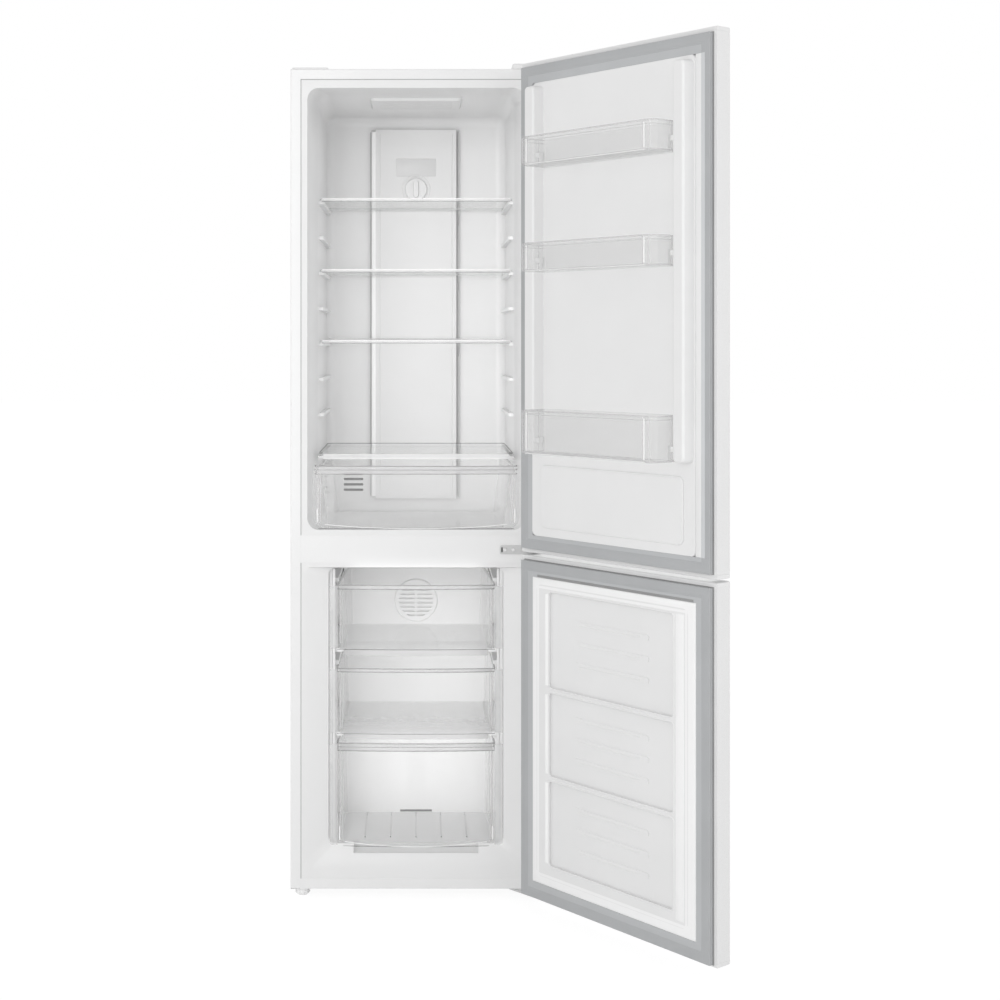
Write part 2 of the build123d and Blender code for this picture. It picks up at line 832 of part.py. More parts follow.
# Base plate with a front return, roller cheeks and a rear upstand for the cord gland
with BuildPart() as base_plate:
    with BuildSketch(level(floor_gap)):
        span(-shell_half, shell_half, sheet, cabinet_depth)
        for flip in (-1, 1):
            with Locations((flip * roller_x, roller_y)):
                Rectangle(roller_width + 2 * cheek_gap, 2 * (roller_radius + roller_room),
                          mode=Mode.SUBTRACT)
            with Locations((flip * foot_x, foot_y)):
                Circle(stem_radius + pin_clearance, mode=Mode.SUBTRACT)
    extrude(amount=base_sheet)
    with BuildSketch(front()):
        span(-flange_half, flange_half, floor_gap, floor_gap + bottom_return)
    extrude(amount=-sheet)
    with BuildSketch(front(cabinet_depth - base_sheet)):
        span(gland_x - upstand_half, gland_x + upstand_half, floor_gap,
             gland_level + upstand_above_gland, radius=bracket_corner)
        with Locations((gland_x, gland_level)):
            Circle(gland_radius, mode=Mode.SUBTRACT)
    extrude(amount=-base_sheet)
    for flip in (-1, 1):
        for cheek in (-1, 1):
            inner = flip * roller_x + cheek * (roller_width / 2 + cheek_gap)
            with BuildSketch(side(min(inner, inner + cheek * cheek_wall))):
                with Locations((roller_y, roller_radius)):
                    Circle(cheek_radius)
                span(roller_y - 1.5 * cheek_radius, roller_y + 1.5 * cheek_radius, roller_radius,
                     floor_gap)
                with Locations((roller_y, roller_radius)):
                    Circle(axle_radius, mode=Mode.SUBTRACT)
            extrude(amount=cheek_wall)
    add(screw_shanks.part, mode=Mode.SUBTRACT)
save("base_plate", base_plate)

# Hinge brackets, each with its pin
with BuildPart() as hinge_top:
    with BuildSketch(level(cabinet_height)):
        span(bracket_left, bracket_right, bracket_front, bracket_back, radius=bracket_corner)
    extrude(amount=hinge_plate)
    with BuildSketch(level(cabinet_height + hinge_plate)):
        with Locations((hinge_x, hinge_y)):
            Circle(ear_radius)
        span(bracket_left + bracket_step, bracket_right, bracket_front, bracket_back - bracket_step)
        make_hull()
    extrude(amount=hinge_plate)
    with BuildSketch(level(cabinet_height + hinge_plate)):
        with Locations((hinge_x, hinge_y)):
            Circle(pin_radius)
    extrude(amount=-pin_length)
    add(screw_shanks.part, mode=Mode.SUBTRACT)
save("hinge_top", hinge_top)

arm_low = middle_level - hinge_plate / 2
with BuildPart() as hinge_middle:
    with BuildSketch(front(-hinge_plate)):
        span(bracket_left - middle_bracket_reach, bracket_right, middle_level - middle_bracket_half,
             middle_level + middle_bracket_half, radius=bracket_corner)
        with Locations((bracket_left - middle_bracket_reach + hinge_slot_inset, middle_level)):
            Rectangle(*hinge_slot, mode=Mode.SUBTRACT)
    extrude(amount=-hinge_plate)
    with BuildSketch(level(arm_low)):
        with Locations((hinge_x, hinge_y)):
            Circle(ear_radius)
        span(bracket_left + 2 * hinge_plate, bracket_right, -2 * hinge_plate, -hinge_plate / 2)
        make_hull()
    extrude(amount=hinge_plate)
    with BuildSketch(level(arm_low + hinge_plate)):
        with Locations((hinge_x, hinge_y)):
            Circle(hinge_collar)
    extrude(amount=fridge_door_low - arm_low - hinge_plate)
    with BuildSketch(level(freezer_door_high - pin_length)):
        with Locations((hinge_x, hinge_y)):
            Circle(pin_radius)
    extrude(amount=fridge_door_low - freezer_door_high + 2 * pin_length)
    add(screw_shanks.part, mode=Mode.SUBTRACT)
save("hinge_middle", hinge_middle)

with BuildPart() as hinge_bottom:
    with BuildSketch(level(floor_gap - hinge_plate)):
        with Locations((hinge_x, hinge_y)):
            Circle(ear_radius)
        span(bracket_left - bottom_bracket_reach, bracket_right, bracket_front, bracket_back)
        make_hull()
        with Locations((foot_x, foot_y)):
            Circle(stem_radius + 1, mode=Mode.SUBTRACT)
    extrude(amount=hinge_plate)
    with BuildSketch(level(floor_gap)):
        with Locations((hinge_x, hinge_y)):
            Circle(hinge_collar)
    extrude(amount=freezer_door_low - floor_gap)
    with BuildSketch(level(freezer_door_low)):
        with Locations((hinge_x, hinge_y)):
            Circle(pin_radius)
    extrude(amount=pin_length)
    add(screw_shanks.part, mode=Mode.SUBTRACT)
save("hinge_bottom", hinge_bottom)

with BuildPart() as hinge_screws:
    add(screw_shanks.part)
    for plane, places in ((top_plane, top_screws), (middle_plane, middle_screws),
                          (bottom_plane, [(x, -y) for x, y in bottom_screws])):
        with BuildSketch(plane):
            with Locations(*places):
                Circle(screw_head_radius)
        extrude(amount=screw_head, taper=screw_head_taper)
save("hinge_screws", hinge_screws)

# Plastic covers on the roof: over the hinge, and a low blank one over the unused hinge holes
with BuildPart() as roof_covers:
    with BuildSketch(level(cabinet_height)):
        span(bracket_left - cover_side, cabinet_width / 2 - cover_edge, cover_edge,
             bracket_back + cover_side, radius=cover_corner)
    extrude(amount=hinge_cover_height)
    fillet(roof_covers.faces().sort_by(Axis.Z)[-1].edges(), cover_round)
    with BuildSketch(level(cabinet_height)):
        span(bracket_left - cover_side + cover_shell, cabinet_width / 2 - cover_edge - cover_shell,
             cover_edge + cover_shell, bracket_back + cover_side - cover_shell,
             radius=cover_corner - cover_shell)
    extrude(amount=hinge_cover_height - cover_shell, mode=Mode.SUBTRACT)
    with BuildSketch(front()):
        span(bracket_left + screw_front, bracket_right + cover_edge, cabinet_height,
             cabinet_height + 2 * hinge_plate + cover_clearance)
    extrude(amount=-(cover_edge + cover_shell + 1), mode=Mode.SUBTRACT)
    with BuildSketch(level(cabinet_height)):
        span(-cabinet_width / 2 + blank_inset, -cabinet_width / 2 + blank_inset + blank_width,
             cover_edge, bracket_back + cover_side, radius=cover_corner)
    extrude(amount=blank_height)
    fillet(roof_covers.solids().sort_by(Axis.X)[0].faces().sort_by(Axis.Z)[-1].edges(), blank_height / 2)
save("roof_covers", roof_covers)

# Levelling feet with grip notches
for name, x in (("front_foot_left", -foot_x), ("front_foot_right", foot_x)):
    with BuildPart() as foot:
        with BuildSketch(level(0)):
            with Locations((x, foot_y)):
                Circle(foot_radius)
        extrude(amount=foot_height)
        chamfer(foot.faces().sort_by(Axis.Z)[0].edges(), foot_round)
        with BuildSketch(level(grip_level)):
            with Locations((x, foot_y)):
                with PolarLocations(foot_radius, grip_count):
                    Rectangle(2 * grip_radius, 2 * grip_radius)
        extrude(amount=foot_height, mode=Mode.SUBTRACT)
        with BuildSketch(level(foot_height)):
            with Locations((x, foot_y)):
                Circle(stem_radius)
        extrude(amount=stem_top - foot_height)
    save(name, foot)

# Rear rollers on their axles
for name, x in (("rear_roller_left", -roller_x), ("rear_roller_right", roller_x)):
    with BuildPart() as roller:
        with BuildSketch(side(x - roller_width / 2)):
            with Locations((roller_y, roller_radius)):
                Circle(roller_radius)
                Circle(axle_radius + pin_clearance, mode=Mode.SUBTRACT)
        extrude(amount=roller_width)
        chamfer(roller.edges().filter_by(GeomType.CIRCLE).sort_by(SortBy.RADIUS)[-2:], 1.5)
        for end, way in ((x - roller_width / 2, 1), (x + roller_width / 2, -1)):
            with BuildSketch(side(end)):
                with Locations((roller_y, roller_radius)):
                    Circle(roller_radius - roller_rim)
                    Circle(axle_radius + 2.5, mode=Mode.SUBTRACT)
            extrude(amount=way * roller_dish, mode=Mode.SUBTRACT)
    save(name, roller)

with BuildPart() as roller_axles:
    for x in (-roller_x, roller_x):
        with BuildSketch(side(x - axle_half)):
            with Locations((roller_y, roller_radius)):
                Circle(axle_radius)
        extrude(amount=2 * axle_half)
save("roller_axles", roller_axles)

# Air duct cover with bevelled sides, a window, a dial seat and outlets in its bevels
with BuildPart() as duct_cover:
    for inset, depth, mode in ((0, 0, Mode.ADD), (duct_wall, duct_wall, Mode.SUBTRACT)):
        with BuildSketch(level(duct_low + inset)):
            with BuildLine():
                Polyline((-duct_half + 1.4 * inset, fridge_back),
                         (-duct_half + duct_bevel + inset, duct_face + depth),
                         (duct_half - duct_bevel - inset, duct_face + depth),
                         (duct_half - 1.4 * inset, fridge_back), close=True)
            make_face()
        extrude(amount=duct_high - duct_low - 2 * inset, mode=mode)
    face_plane = front(duct_face)
    with BuildSketch(face_plane):
        span(-window_half, window_half, window_low, window_low + window_height, radius=window_corner)
    extrude(amount=-duct_wall / 2, mode=Mode.SUBTRACT)
    with BuildSketch(face_plane):
        with Locations((0, knob_level)):
            Circle(dial_ring[0])
            Circle(dial_ring[1], mode=Mode.SUBTRACT)
    extrude(amount=1.2)
    with BuildSketch(face_plane):
        with Locations((0, knob_level)):
            Circle(knob_shaft + pin_clearance)
    extrude(amount=-duct_wall, mode=Mode.SUBTRACT)
    with BuildSketch(side(-duct_half)):
        outlet_y = duct_face + (duct_depth + duct_wall) / 2
        with Locations(*[(outlet_y, z - outlet_drop) for z in shelf_levels]):
            Rectangle(*outlet_size)
    extrude(amount=2 * duct_half, mode=Mode.SUBTRACT)
    with BuildSketch(face_plane):
        for flip in (-1, 1):
            line = flip * (duct_half - duct_bevel - duct_line_inset)
            span(line, line + flip * duct_line_width, duct_low + duct_line_inset, duct_high - duct_line_inset)
    extrude(amount=1)
save("duct_cover", duct_cover)

# Temperature dial, and the shutter disc on the end of its shaft
dial_face = duct_face - knob_gap
with BuildPart() as damper_knob:
    with BuildSketch(front(dial_face)):
        with Locations((0, knob_level)):
            Circle(knob_radius)
    extrude(amount=knob_height / 2, taper=knob_draft)
    fillet(damper_knob.faces().sort_by(Axis.Y)[0].edges(), 2)
    with BuildSketch(front(dial_face - knob_height / 2)):
        with Locations((0, knob_level)):
            SlotOverall(2 * knob_radius - knob_grip_width, knob_grip_width, rotation=90)
    extrude(amount=knob_height / 2, taper=knob_draft)
    with BuildSketch(front(dial_face)):
        with Locations((0, knob_level)):
            Circle(knob_shaft)
    extrude(amount=-(3 * duct_wall + shutter_wall))
    with BuildSketch(front(dial_face)):
        with Locations((0, knob_level)):
            Circle(1.4 * knob_shaft)
    extrude(amount=-knob_gap)
save("damper_knob", damper_knob)

with BuildPart() as damper_shutter:
    with BuildSketch(front(dial_face + 2 * duct_wall + knob_gap)):
        with Locations((0, knob_level)):
            Circle(shutter_radius)
            Circle(knob_shaft, mode=Mode.SUBTRACT)
            with PolarLocations(shutter_slot_circle, 3):
                SlotOverall(*shutter_slot, rotation=90, mode=Mode.SUBTRACT)
    extrude(amount=-shutter_wall)
save("damper_shutter", damper_shutter)

# Ceiling lamp: housing and lens
with BuildPart() as lamp_housing:
    with BuildSketch(level(fridge_ceiling)):
        span(-lamp_half, lamp_half, lamp_front, lamp_back, radius=lamp_corner)
    extrude(amount=-lamp_height, taper=lamp_draft)
    with BuildSketch(level(fridge_ceiling - lamp_height)):
        span(-lens_half, lens_half, lens_front, lens_back, radius=lens_corner)
    extrude(amount=lamp_height - 1, mode=Mode.SUBTRACT)
save("lamp_housing", lamp_housing)

with BuildPart() as lamp_lens:
    with BuildSketch(level(fridge_ceiling - lamp_height)):
        span(-lens_half, lens_half, lens_front, lens_back, radius=lens_corner)
    extrude(amount=lens_wall)
    with BuildSketch(level(fridge_ceiling - lamp_height + lens_wall)):
        span(-lens_half, lens_half, lens_front, lens_back, radius=lens_corner)
        offset(amount=-lens_wall, mode=Mode.SUBTRACT)
    extrude(amount=lamp_height - 1 - lens_wall)
save("lamp_lens", lamp_lens)

# Glass shelves, each with a front and a rear trim
trim_low = shelf_back - trim_depth
shelf_names = ("low", "middle", "high")
for word, z in zip(shelf_names, shelf_levels):
    with BuildPart() as shelf_glass:
        with BuildSketch(level(z)):
            span(-shelf_half, shelf_half, shelf_front, shelf_back, radius=shelf_corner)
        extrude(amount=glass_thickness)
    save(f"shelf_glass_{word}", shelf_glass)
    with BuildPart() as shelf_trim:
        with BuildSketch(side(-shelf_half + trim_inset)):
            span(shelf_front - trim_wall, shelf_front + trim_depth - trim_wall, z - trim_wall / 2,
                 z + glass_thickness + trim_wall / 2)
            span(shelf_front, shelf_front + trim_depth, z, z + glass_thickness, mode=Mode.SUBTRACT)
        extrude(amount=2 * (shelf_half - trim_inset))
        fillet(shelf_trim.edges().filter_by(Axis.X).group_by(Axis.Y)[0], trim_round)
        with BuildSketch(side(-shelf_half + trim_inset)):
            span(trim_low, shelf_back, z + glass_thickness, z + glass_thickness + trim_wall)
            span(shelf_back - trim_wall, shelf_back, z + glass_thickness,
                 z + glass_thickness + trim_height)
        extrude(amount=2 * (shelf_half - trim_inset))
    save(f"shelf_trim_{word}", shelf_trim)

# Glass cover over the crisper, with its front trim and corner brackets
with BuildPart() as crisper_glass:
    with BuildSketch(level(crisper_cover_level)):
        span(-shelf_half, shelf_half, crisper_cover_front, shelf_back, radius=2 * shelf_corner)
    extrude(amount=glass_thickness)
save("crisper_glass", crisper_glass)

with BuildPart() as crisper_trim:
    z = crisper_cover_level
    lip = crisper_cover_front - trim_wall
    under = lip + trim_wall
    with BuildSketch(side(-shelf_half + 2 * shelf_corner)):
        span(lip, lip + crisper_trim_depth, z - crisper_cover_brim, z + glass_thickness + trim_wall / 2)
        span(under, under + crisper_trim_depth, z, z + glass_thickness, mode=Mode.SUBTRACT)
        span(under, under + crisper_trim_depth, z - crisper_cover_brim, z - trim_wall, mode=Mode.SUBTRACT)
    extrude(amount=2 * (shelf_half - 2 * shelf_corner))
    for flip in (-1, 1):
        with BuildSketch(level(z - crisper_cover_brim)):
            span(flip * (shelf_half - crisper_pad[0]), flip * shelf_half, under + trim_wall,
                 under + crisper_pad[1], radius=trim_wall)
        extrude(amount=crisper_cover_brim)
save("crisper_trim", crisper_trim)


def tub_plan(front_y, back_y, front_half, back_half, corner, bow):
    """A drawer's plan: a bowed front, sides that may narrow to the back and rounded corners."""
    with BuildSketch() as plan:
        with BuildLine():
            left = (-front_half, front_y)
            right = (front_half, front_y)
            ThreePointArc(left, (0, front_y - bow), right)
            Polyline(right, (back_half, back_y), (-back_half, back_y), left)
        make_face()
        fillet(plan.vertices(), corner)
    return plan.sketch


def tub(low, high, outline, draft, wall, bow, corner):
    """An open tub that narrows by the draft to its floor, with a folded-over rim."""
    front_y, back_y, front_half, back_half = outline

    def plan(inset):
        return tub_plan(front_y + inset, back_y - inset, front_half - inset, back_half - inset,
                        corner - inset, bow)

    with BuildPart() as body:
        with BuildSketch(level(low)):
            add(plan(draft + rim_reach))
        with BuildSketch(level(high)):
            add(plan(rim_reach))
        loft()
        with BuildSketch(level(high - rim_drop)):
            add(plan(0))
        extrude(amount=rim_drop)
        with BuildSketch(level(high - rim_drop)):
            add(plan(rim_reach / 2))
            add(plan(rim_reach - rim_slit), mode=Mode.SUBTRACT)
        extrude(amount=rim_drop - wall, mode=Mode.SUBTRACT)
        with BuildSketch(level(low + wall)):
            add(plan(draft + rim_reach + wall))
        with BuildSketch(level(high)):
            add(plan(rim_reach + wall))
        loft(mode=Mode.SUBTRACT)
    return body.part


# Crisper: a clear tub behind a wider front plate that fills the flared opening
crisper_high = fridge_floor + crisper_height
crisper_flare = mouth_flare * (mouth_depth - crisper_front) / (mouth_depth - sheet)
crisper_face_half = fridge_half + crisper_flare - crisper_face_gap
with BuildPart() as crisper_drawer:
    with BuildSketch(front(crisper_front - crisper_bow / 2)):
        span(-crisper_face_half, crisper_face_half, fridge_floor + crisper_face_rise, crisper_high,
             radius=fridge_corner)
        span(-crisper_face_half, crisper_face_half, crisper_high - fridge_corner, crisper_high)
        span(-crisper_half + 2 * crisper_draft, crisper_half - 2 * crisper_draft,
             fridge_floor + 2 * crisper_draft, crisper_high, mode=Mode.SUBTRACT)
    extrude(amount=-crisper_face_thickness)
    add(tub(fridge_floor + crisper_clearance, crisper_high,
            (crisper_front, crisper_back, crisper_half, crisper_half - crisper_narrowing),
            crisper_draft, crisper_wall, crisper_bow, crisper_corner))
save("crisper_drawer", crisper_drawer)

# Freezer drawers. The lowest has a handle lip that hangs into the floor's hollow.
for word, (low, height, back) in drawer_places.items():
    with BuildPart() as drawer:
        add(tub(low, low + height,
                (drawer_front, back, drawer_half, drawer_half - drawer_narrowing[word]),
                drawer_draft, drawer_wall, drawer_bow, drawer_corner))
        if word == "lower":
            with BuildSketch(front(drawer_front + lip_setback)):
                with BuildLine():
                    ThreePointArc((-lip_half, low), (0, low - lip_drop), (lip_half, low))
                    Polyline((lip_half, low), (lip_half, low + drawer_wall),
                             (-lip_half, low + drawer_wall), (-lip_half, low))
                make_face()
            extrude(amount=-lip_thickness)
    save(f"freezer_drawer_{word}", drawer)

# Freezer back cover: fan grille, cold air outlets and a return grille along its foot
cover_half = freezer_half - cover_clearance
cover_high = freezer_ceiling - cover_clearance
with BuildPart() as evaporator_cover:
    with BuildSketch(front(cover_plane)) as cover_plan:
        span(-cover_half, cover_half, step_top, cover_high)
        fillet(cover_plan.vertices(), freezer_corner)
    extrude(amount=-cover_wall)
    with BuildSketch(front(cover_plane)):
        with Locations((0, fan_level)):
            Circle(grille_radius + grille_ring)
    extrude(amount=grille_height, taper=grille_draft)
    with BuildSketch(front(cover_plane - grille_height)):
        with Locations((0, fan_level)):
            Circle(grille_radius)
            with GridLocations(0, grille_pitch, 1, grille_slots):
                Rectangle(2 * grille_radius, grille_bar, mode=Mode.SUBTRACT)
            Rectangle(grille_bar, 2 * grille_radius, mode=Mode.SUBTRACT)
    extrude(amount=-(cover_wall + grille_height), mode=Mode.SUBTRACT)
    with BuildSketch(front(cover_plane)):
        with Locations((0, cover_high - top_vent_drop)):
            with GridLocations(top_vent_pitch, 0, 2, 1):
                Rectangle(*top_vent)
        with Locations((0, step_top + low_vent[1])):
            with GridLocations(low_vent_pitch, 0, low_vent_count, 1):
                Rectangle(*low_vent)
    extrude(amount=-cover_wall, mode=Mode.SUBTRACT)
save("evaporator_cover", evaporator_cover)

# Evaporator: finned serpentine between two end plates that stand off the liner's back
def coil_points():
    points = []
    for row in range(tube_rows):
        z = coil_low + tube_pitch * (row + 0.5)
        ends = [(-coil_half - tube_end, coil_y, z), (coil_half + tube_end, coil_y, z)]
        points += ends if row % 2 == 0 else ends[::-1]
    return points


with BuildPart() as evaporator:
    with BuildLine() as coil_path:
        FilletPolyline(*coil_points(), radius=tube_end - tube_radius)
    with BuildSketch(Plane(coil_path.line @ 0, z_dir=coil_path.line % 0)):
        Circle(tube_radius)
    sweep(path=coil_path.line)
    for fin in range(fin_count):
        x = -coil_half + (fin + 1) * 2 * coil_half / (fin_count + 1)
        with BuildSketch(side(x)):
            span(coil_front, coil_back, coil_low, coil_high)
        extrude(amount=fin_thickness)
    for x in (-coil_half, coil_half - 1):
        with BuildSketch(side(x)):
            span(coil_front, freezer_back, heater_level - 12, coil_high)
            with Locations((coil_y, heater_level)):
                Circle(heater_radius + 0.1, mode=Mode.SUBTRACT)
        extrude(amount=1)
save("evaporator", evaporator)

with BuildPart() as defrost_heater:
    with BuildSketch(side(-coil_half - heater_reach)):
        with Locations((coil_y, heater_level)):
            Circle(heater_radius)
    extrude(amount=2 * (coil_half + heater_reach))
    for end, way in ((-coil_half, -1), (coil_half, 1)):
        with BuildSketch(side(end)):
            with Locations((coil_y, heater_level)):
                Circle(heater_radius + 2.5)
        extrude(amount=way * 14)
save("defrost_heater", defrost_heater)

# Fan: a motor on three posts behind the grille, and its impeller
with BuildPart() as fan_motor:
    with BuildSketch(front(motor_front)):
        with Locations((0, fan_level)):
            Circle(motor_radius)
    extrude(amount=-motor_length)
    fillet(fan_motor.faces().sort_by(Axis.Y)[-1].edges(), 4)
    with BuildSketch(front(motor_front)):
        with Locations((0, fan_level)):
            with PolarLocations(post_circle / 2 + post_radius, 3, start_angle=90):
                Rectangle(post_circle - 2 * post_radius, 2 * post_radius)
            with PolarLocations(post_circle, 3, start_angle=90):
                Circle(post_radius + 1)
    extrude(amount=-3)
    with BuildSketch(front(cover_plane + cover_wall)):
        with Locations((0, fan_level)):
            with PolarLocations(post_circle, 3, start_angle=90):
                Circle(post_radius)
    extrude(amount=-(motor_front - cover_plane - cover_wall))
    with BuildSketch(front(hub_front + hub_wall)):
        with Locations((0, fan_level)):
            Circle(shaft_radius)
    extrude(amount=-(motor_front - hub_front - hub_wall))
save("fan_motor", fan_motor)

with BuildPart() as fan_impeller:
    with BuildSketch(front(hub_front)):
        with Locations((0, fan_level)):
            Circle(hub_radius)
    extrude(amount=-(hub_back - hub_front))
    fillet(fan_impeller.faces().sort_by(Axis.Y)[0].edges(), 4)
    with BuildSketch(front(hub_front + 2.5)):
        with Locations((0, fan_level)):
            Circle(shaft_radius + 0.2)
    extrude(amount=-(hub_back - hub_front), mode=Mode.SUBTRACT)
    for blade in range(blade_count):
        turn = radians(360 / blade_count * blade)
        outward = Vector(cos(turn), 0, sin(turn))
        along = Vector(-sin(turn), 0, cos(turn))
        for reach, (chord, camber, pitch) in ((hub_radius - 2, root_blade), (fan_radius, tip_blade)):
            centre = Vector(0, (hub_front + hub_back) / 2, fan_level) + outward * reach
            with BuildSketch(Plane(centre, x_dir=along, z_dir=outward).rotated((0, 0, pitch))):
                with BuildLine():
                    ThreePointArc((-chord / 2, 0), (0, camber), (chord / 2, 0))
                    ThreePointArc((-chord / 2, 0), (0, camber - blade_thickness), (chord / 2, 0))
                make_face()
        loft(ruled=True)
save("fan_impeller", fan_impeller)

# Melt water's way to the tray over the compressor
with BuildPart() as drain_tube:
    with BuildSketch(level(tray_low + tray_height + 10)):
        with Locations((0, drain_y)):
            Circle(drain_radius)
    extrude(amount=step_top - tray_low - tray_height - 10)
    with BuildSketch(level(step_top)):
        with Locations((0, drain_y)):
            Circle(drain_radius + 5)
    extrude(amount=1.2)
    with BuildSketch(level(tray_low)):
        with Locations((0, drain_y)):
            Circle(drain_radius - drain_wall)
    extrude(amount=step_top, mode=Mode.SUBTRACT)
save("drain_tube", drain_tube)

with BuildPart() as evaporation_tray:
    for inset, mode in ((0, Mode.ADD), (tray_wall, Mode.SUBTRACT)):
        half_x, half_y = tray_half[0] - inset, tray_half[1] - inset
        with BuildSketch(level(tray_low + inset)):
            with Locations((compressor_x, compressor_y)):
                RectangleRounded(2 * (half_x - tray_draft), 2 * (half_y - tray_draft), tray_corner - inset)
        with BuildSketch(level(tray_low + tray_height)):
            with Locations((compressor_x, compressor_y)):
                RectangleRounded(2 * half_x, 2 * half_y, tray_corner - inset)
        loft(mode=mode)
save("evaporation_tray", evaporation_tray)

# Compressor: welded can on a foot plate, with stubs for the pipes
shoulder = compressor_height - compressor_shoulder
with BuildPart() as compressor:
    with BuildSketch(Plane((compressor_x, compressor_y, can_low), x_dir=(1, 0, 0), z_dir=(0, -1, 0))):
        with BuildLine():
            Polyline((0, 0), (0, compressor_height), (compressor_dome, compressor_height))
            ThreePointArc((compressor_dome, compressor_height),
                          (compressor_radius - compressor_brow[0], compressor_height - compressor_brow[1]),
                          (compressor_radius, shoulder))
            Polyline((compressor_radius, shoulder), (compressor_radius, seam_level + seam_size / 2),
                     (compressor_radius + seam_size, seam_level + seam_size / 2),
                     (compressor_radius + seam_size, seam_level - seam_size / 2),
                     (compressor_radius, seam_level - seam_size / 2),
                     (compressor_radius, compressor_bevel), (compressor_radius - compressor_bevel, 0),
                     (0, 0))
        make_face()
    revolve(axis=Axis((compressor_x, compressor_y, 0), (0, 0, 1)))
    with BuildSketch(level(can_low)):
        with Locations((compressor_x, compressor_y)):
            RectangleRounded(2 * (mount_half[0] + mount_margin), 2 * (mount_half[1] + mount_margin),
                             mount_margin)
            with GridLocations(2 * mount_half[0], 2 * mount_half[1], 2, 2):
                Circle(grommet_pin, mode=Mode.SUBTRACT)
    extrude(amount=compressor_foot)
    with BuildSketch(side(compressor_x - stub_reach)):
        with Locations((stub_y, can_low + stub_level)):
            Circle(pipe_radius + 1)
    extrude(amount=2 * stub_reach)
save("compressor", compressor)

with BuildPart() as compressor_mounts:
    with BuildSketch(level(base_top)):
        with Locations((compressor_x, compressor_y)):
            with GridLocations(2 * mount_half[0], 2 * mount_half[1], 2, 2):
                Circle(grommet_radius)
    extrude(amount=grommet_height / 2, taper=grommet_taper)
    with BuildSketch(level(can_low)):
        with Locations((compressor_x, compressor_y)):
            with GridLocations(2 * mount_half[0], 2 * mount_half[1], 2, 2):
                Circle(grommet_radius)
    extrude(amount=-grommet_height / 2, taper=grommet_taper)
    with BuildSketch(level(can_low)):
        with Locations((compressor_x, compressor_y)):
            with GridLocations(2 * mount_half[0], 2 * mount_half[1], 2, 2):
                Circle(grommet_pin)
    extrude(amount=2 * compressor_foot)
save("compressor_mounts", compressor_mounts)

with BuildPart() as terminal_box:
    with BuildSketch(level(can_low + terminal_box_place[2])):
        with Locations((compressor_x + terminal_box_place[0], compressor_y + terminal_box_place[1])):
            RectangleRounded(terminal_box_size[0], terminal_box_size[1], 8)
    extrude(amount=terminal_box_size[2])
    fillet(terminal_box.faces().sort_by(Axis.Z)[-1].edges(), 4)
    add(compressor.part, mode=Mode.SUBTRACT)
save("terminal_box", terminal_box)

# Gland for the power cord
with BuildPart() as cord_gland:
    with BuildSketch(Plane((gland_x, cabinet_depth, gland_level), x_dir=(0, 1, 0), z_dir=(1, 0, 0))):
        with BuildLine():
            Polyline((-gland_reach, gland_bore), (-gland_reach, gland_radius),
                     (-base_sheet, gland_radius + gland_flange / 2), (-base_sheet, gland_radius),
                     (0, gland_radius), (0, gland_radius + gland_flange),
                     (gland_flange, gland_radius + gland_flange), (gland_flange, gland_radius),
                     (gland_reach, gland_radius - 1), (gland_reach, gland_bore), close=True)
        make_face()
    revolve(axis=Axis((gland_x, cabinet_depth, gland_level), (0, 1, 0)))
save("cord_gland", cord_gland)


# Doors
def door_plan(inset, inner):
    """The door's level section, set in from its faces, with its inner side at the given v."""
    with BuildSketch() as plan:
        span(inset - hinge_inset, cabinet_width - hinge_inset - inset, inner, door_outer - inset)
        fillet(plan.vertices().group_by(Axis.Y)[-1], door_corner - inset)
    return plan.sketch


def fridge_bulge(inset):
    """What the fridge door's liner bulges out by. Set in by the wall it is the foam inside."""
    base = door_face(door_inner + inset)
    inward = Axis((0, 0, 0), door_direction(0, -1))
    with BuildPart() as bulge:
        with BuildSketch(base):
            span(door_middle - plateau_half + inset, door_middle + plateau_half - inset,
                 plateau_low + inset, plateau_high - inset, radius=plateau_corner - inset)
        extrude(amount=plateau_height, taper=plateau_taper)
        with BuildSketch(base):
            reach = plateau_half - lower_panel_inset - inset
            span(door_middle - reach, door_middle + reach, plateau_low + lower_panel_rise + inset,
                 lower_panel_high - inset, radius=lower_panel_corner - inset)
        extrude(amount=plateau_height + lower_panel_height, taper=plateau_taper)
        with BuildSketch(base):
            for flip in (-1, 1):
                span(door_middle + flip * (dyke_half - inset),
                     door_middle + flip * (dyke_half - dyke_width + inset),
                     dyke_low + inset, dyke_high - inset, radius=dyke_corner - inset)
        extrude(amount=dyke_height, taper=dyke_taper)
        fillet(bulge.faces().sort_by(inward)[-2:].edges(), dyke_round - inset)
    return bulge.part


def freezer_bulge(inset):
    """The freezer door liner's raised frame with its three sunk panels."""
    with BuildPart() as bulge:
        with BuildSketch(door_face(door_inner + inset)):
            span(door_middle - freezer_bulge_half + inset, door_middle + freezer_bulge_half - inset,
                 freezer_bulge_low + inset, freezer_bulge_high - inset,
                 radius=freezer_bulge_corner - inset)
        extrude(amount=freezer_bulge_height, taper=freezer_bulge_taper)
        with BuildSketch(door_face(door_inner + inset - freezer_bulge_height + panel_depth)):
            for low, high in zip(panel_lows, panel_highs):
                span(door_middle - panel_half - inset, door_middle + panel_half + inset,
                     low - inset, high + inset, radius=panel_corner)
        extrude(amount=panel_depth + 1, mode=Mode.SUBTRACT)
    return bulge.part


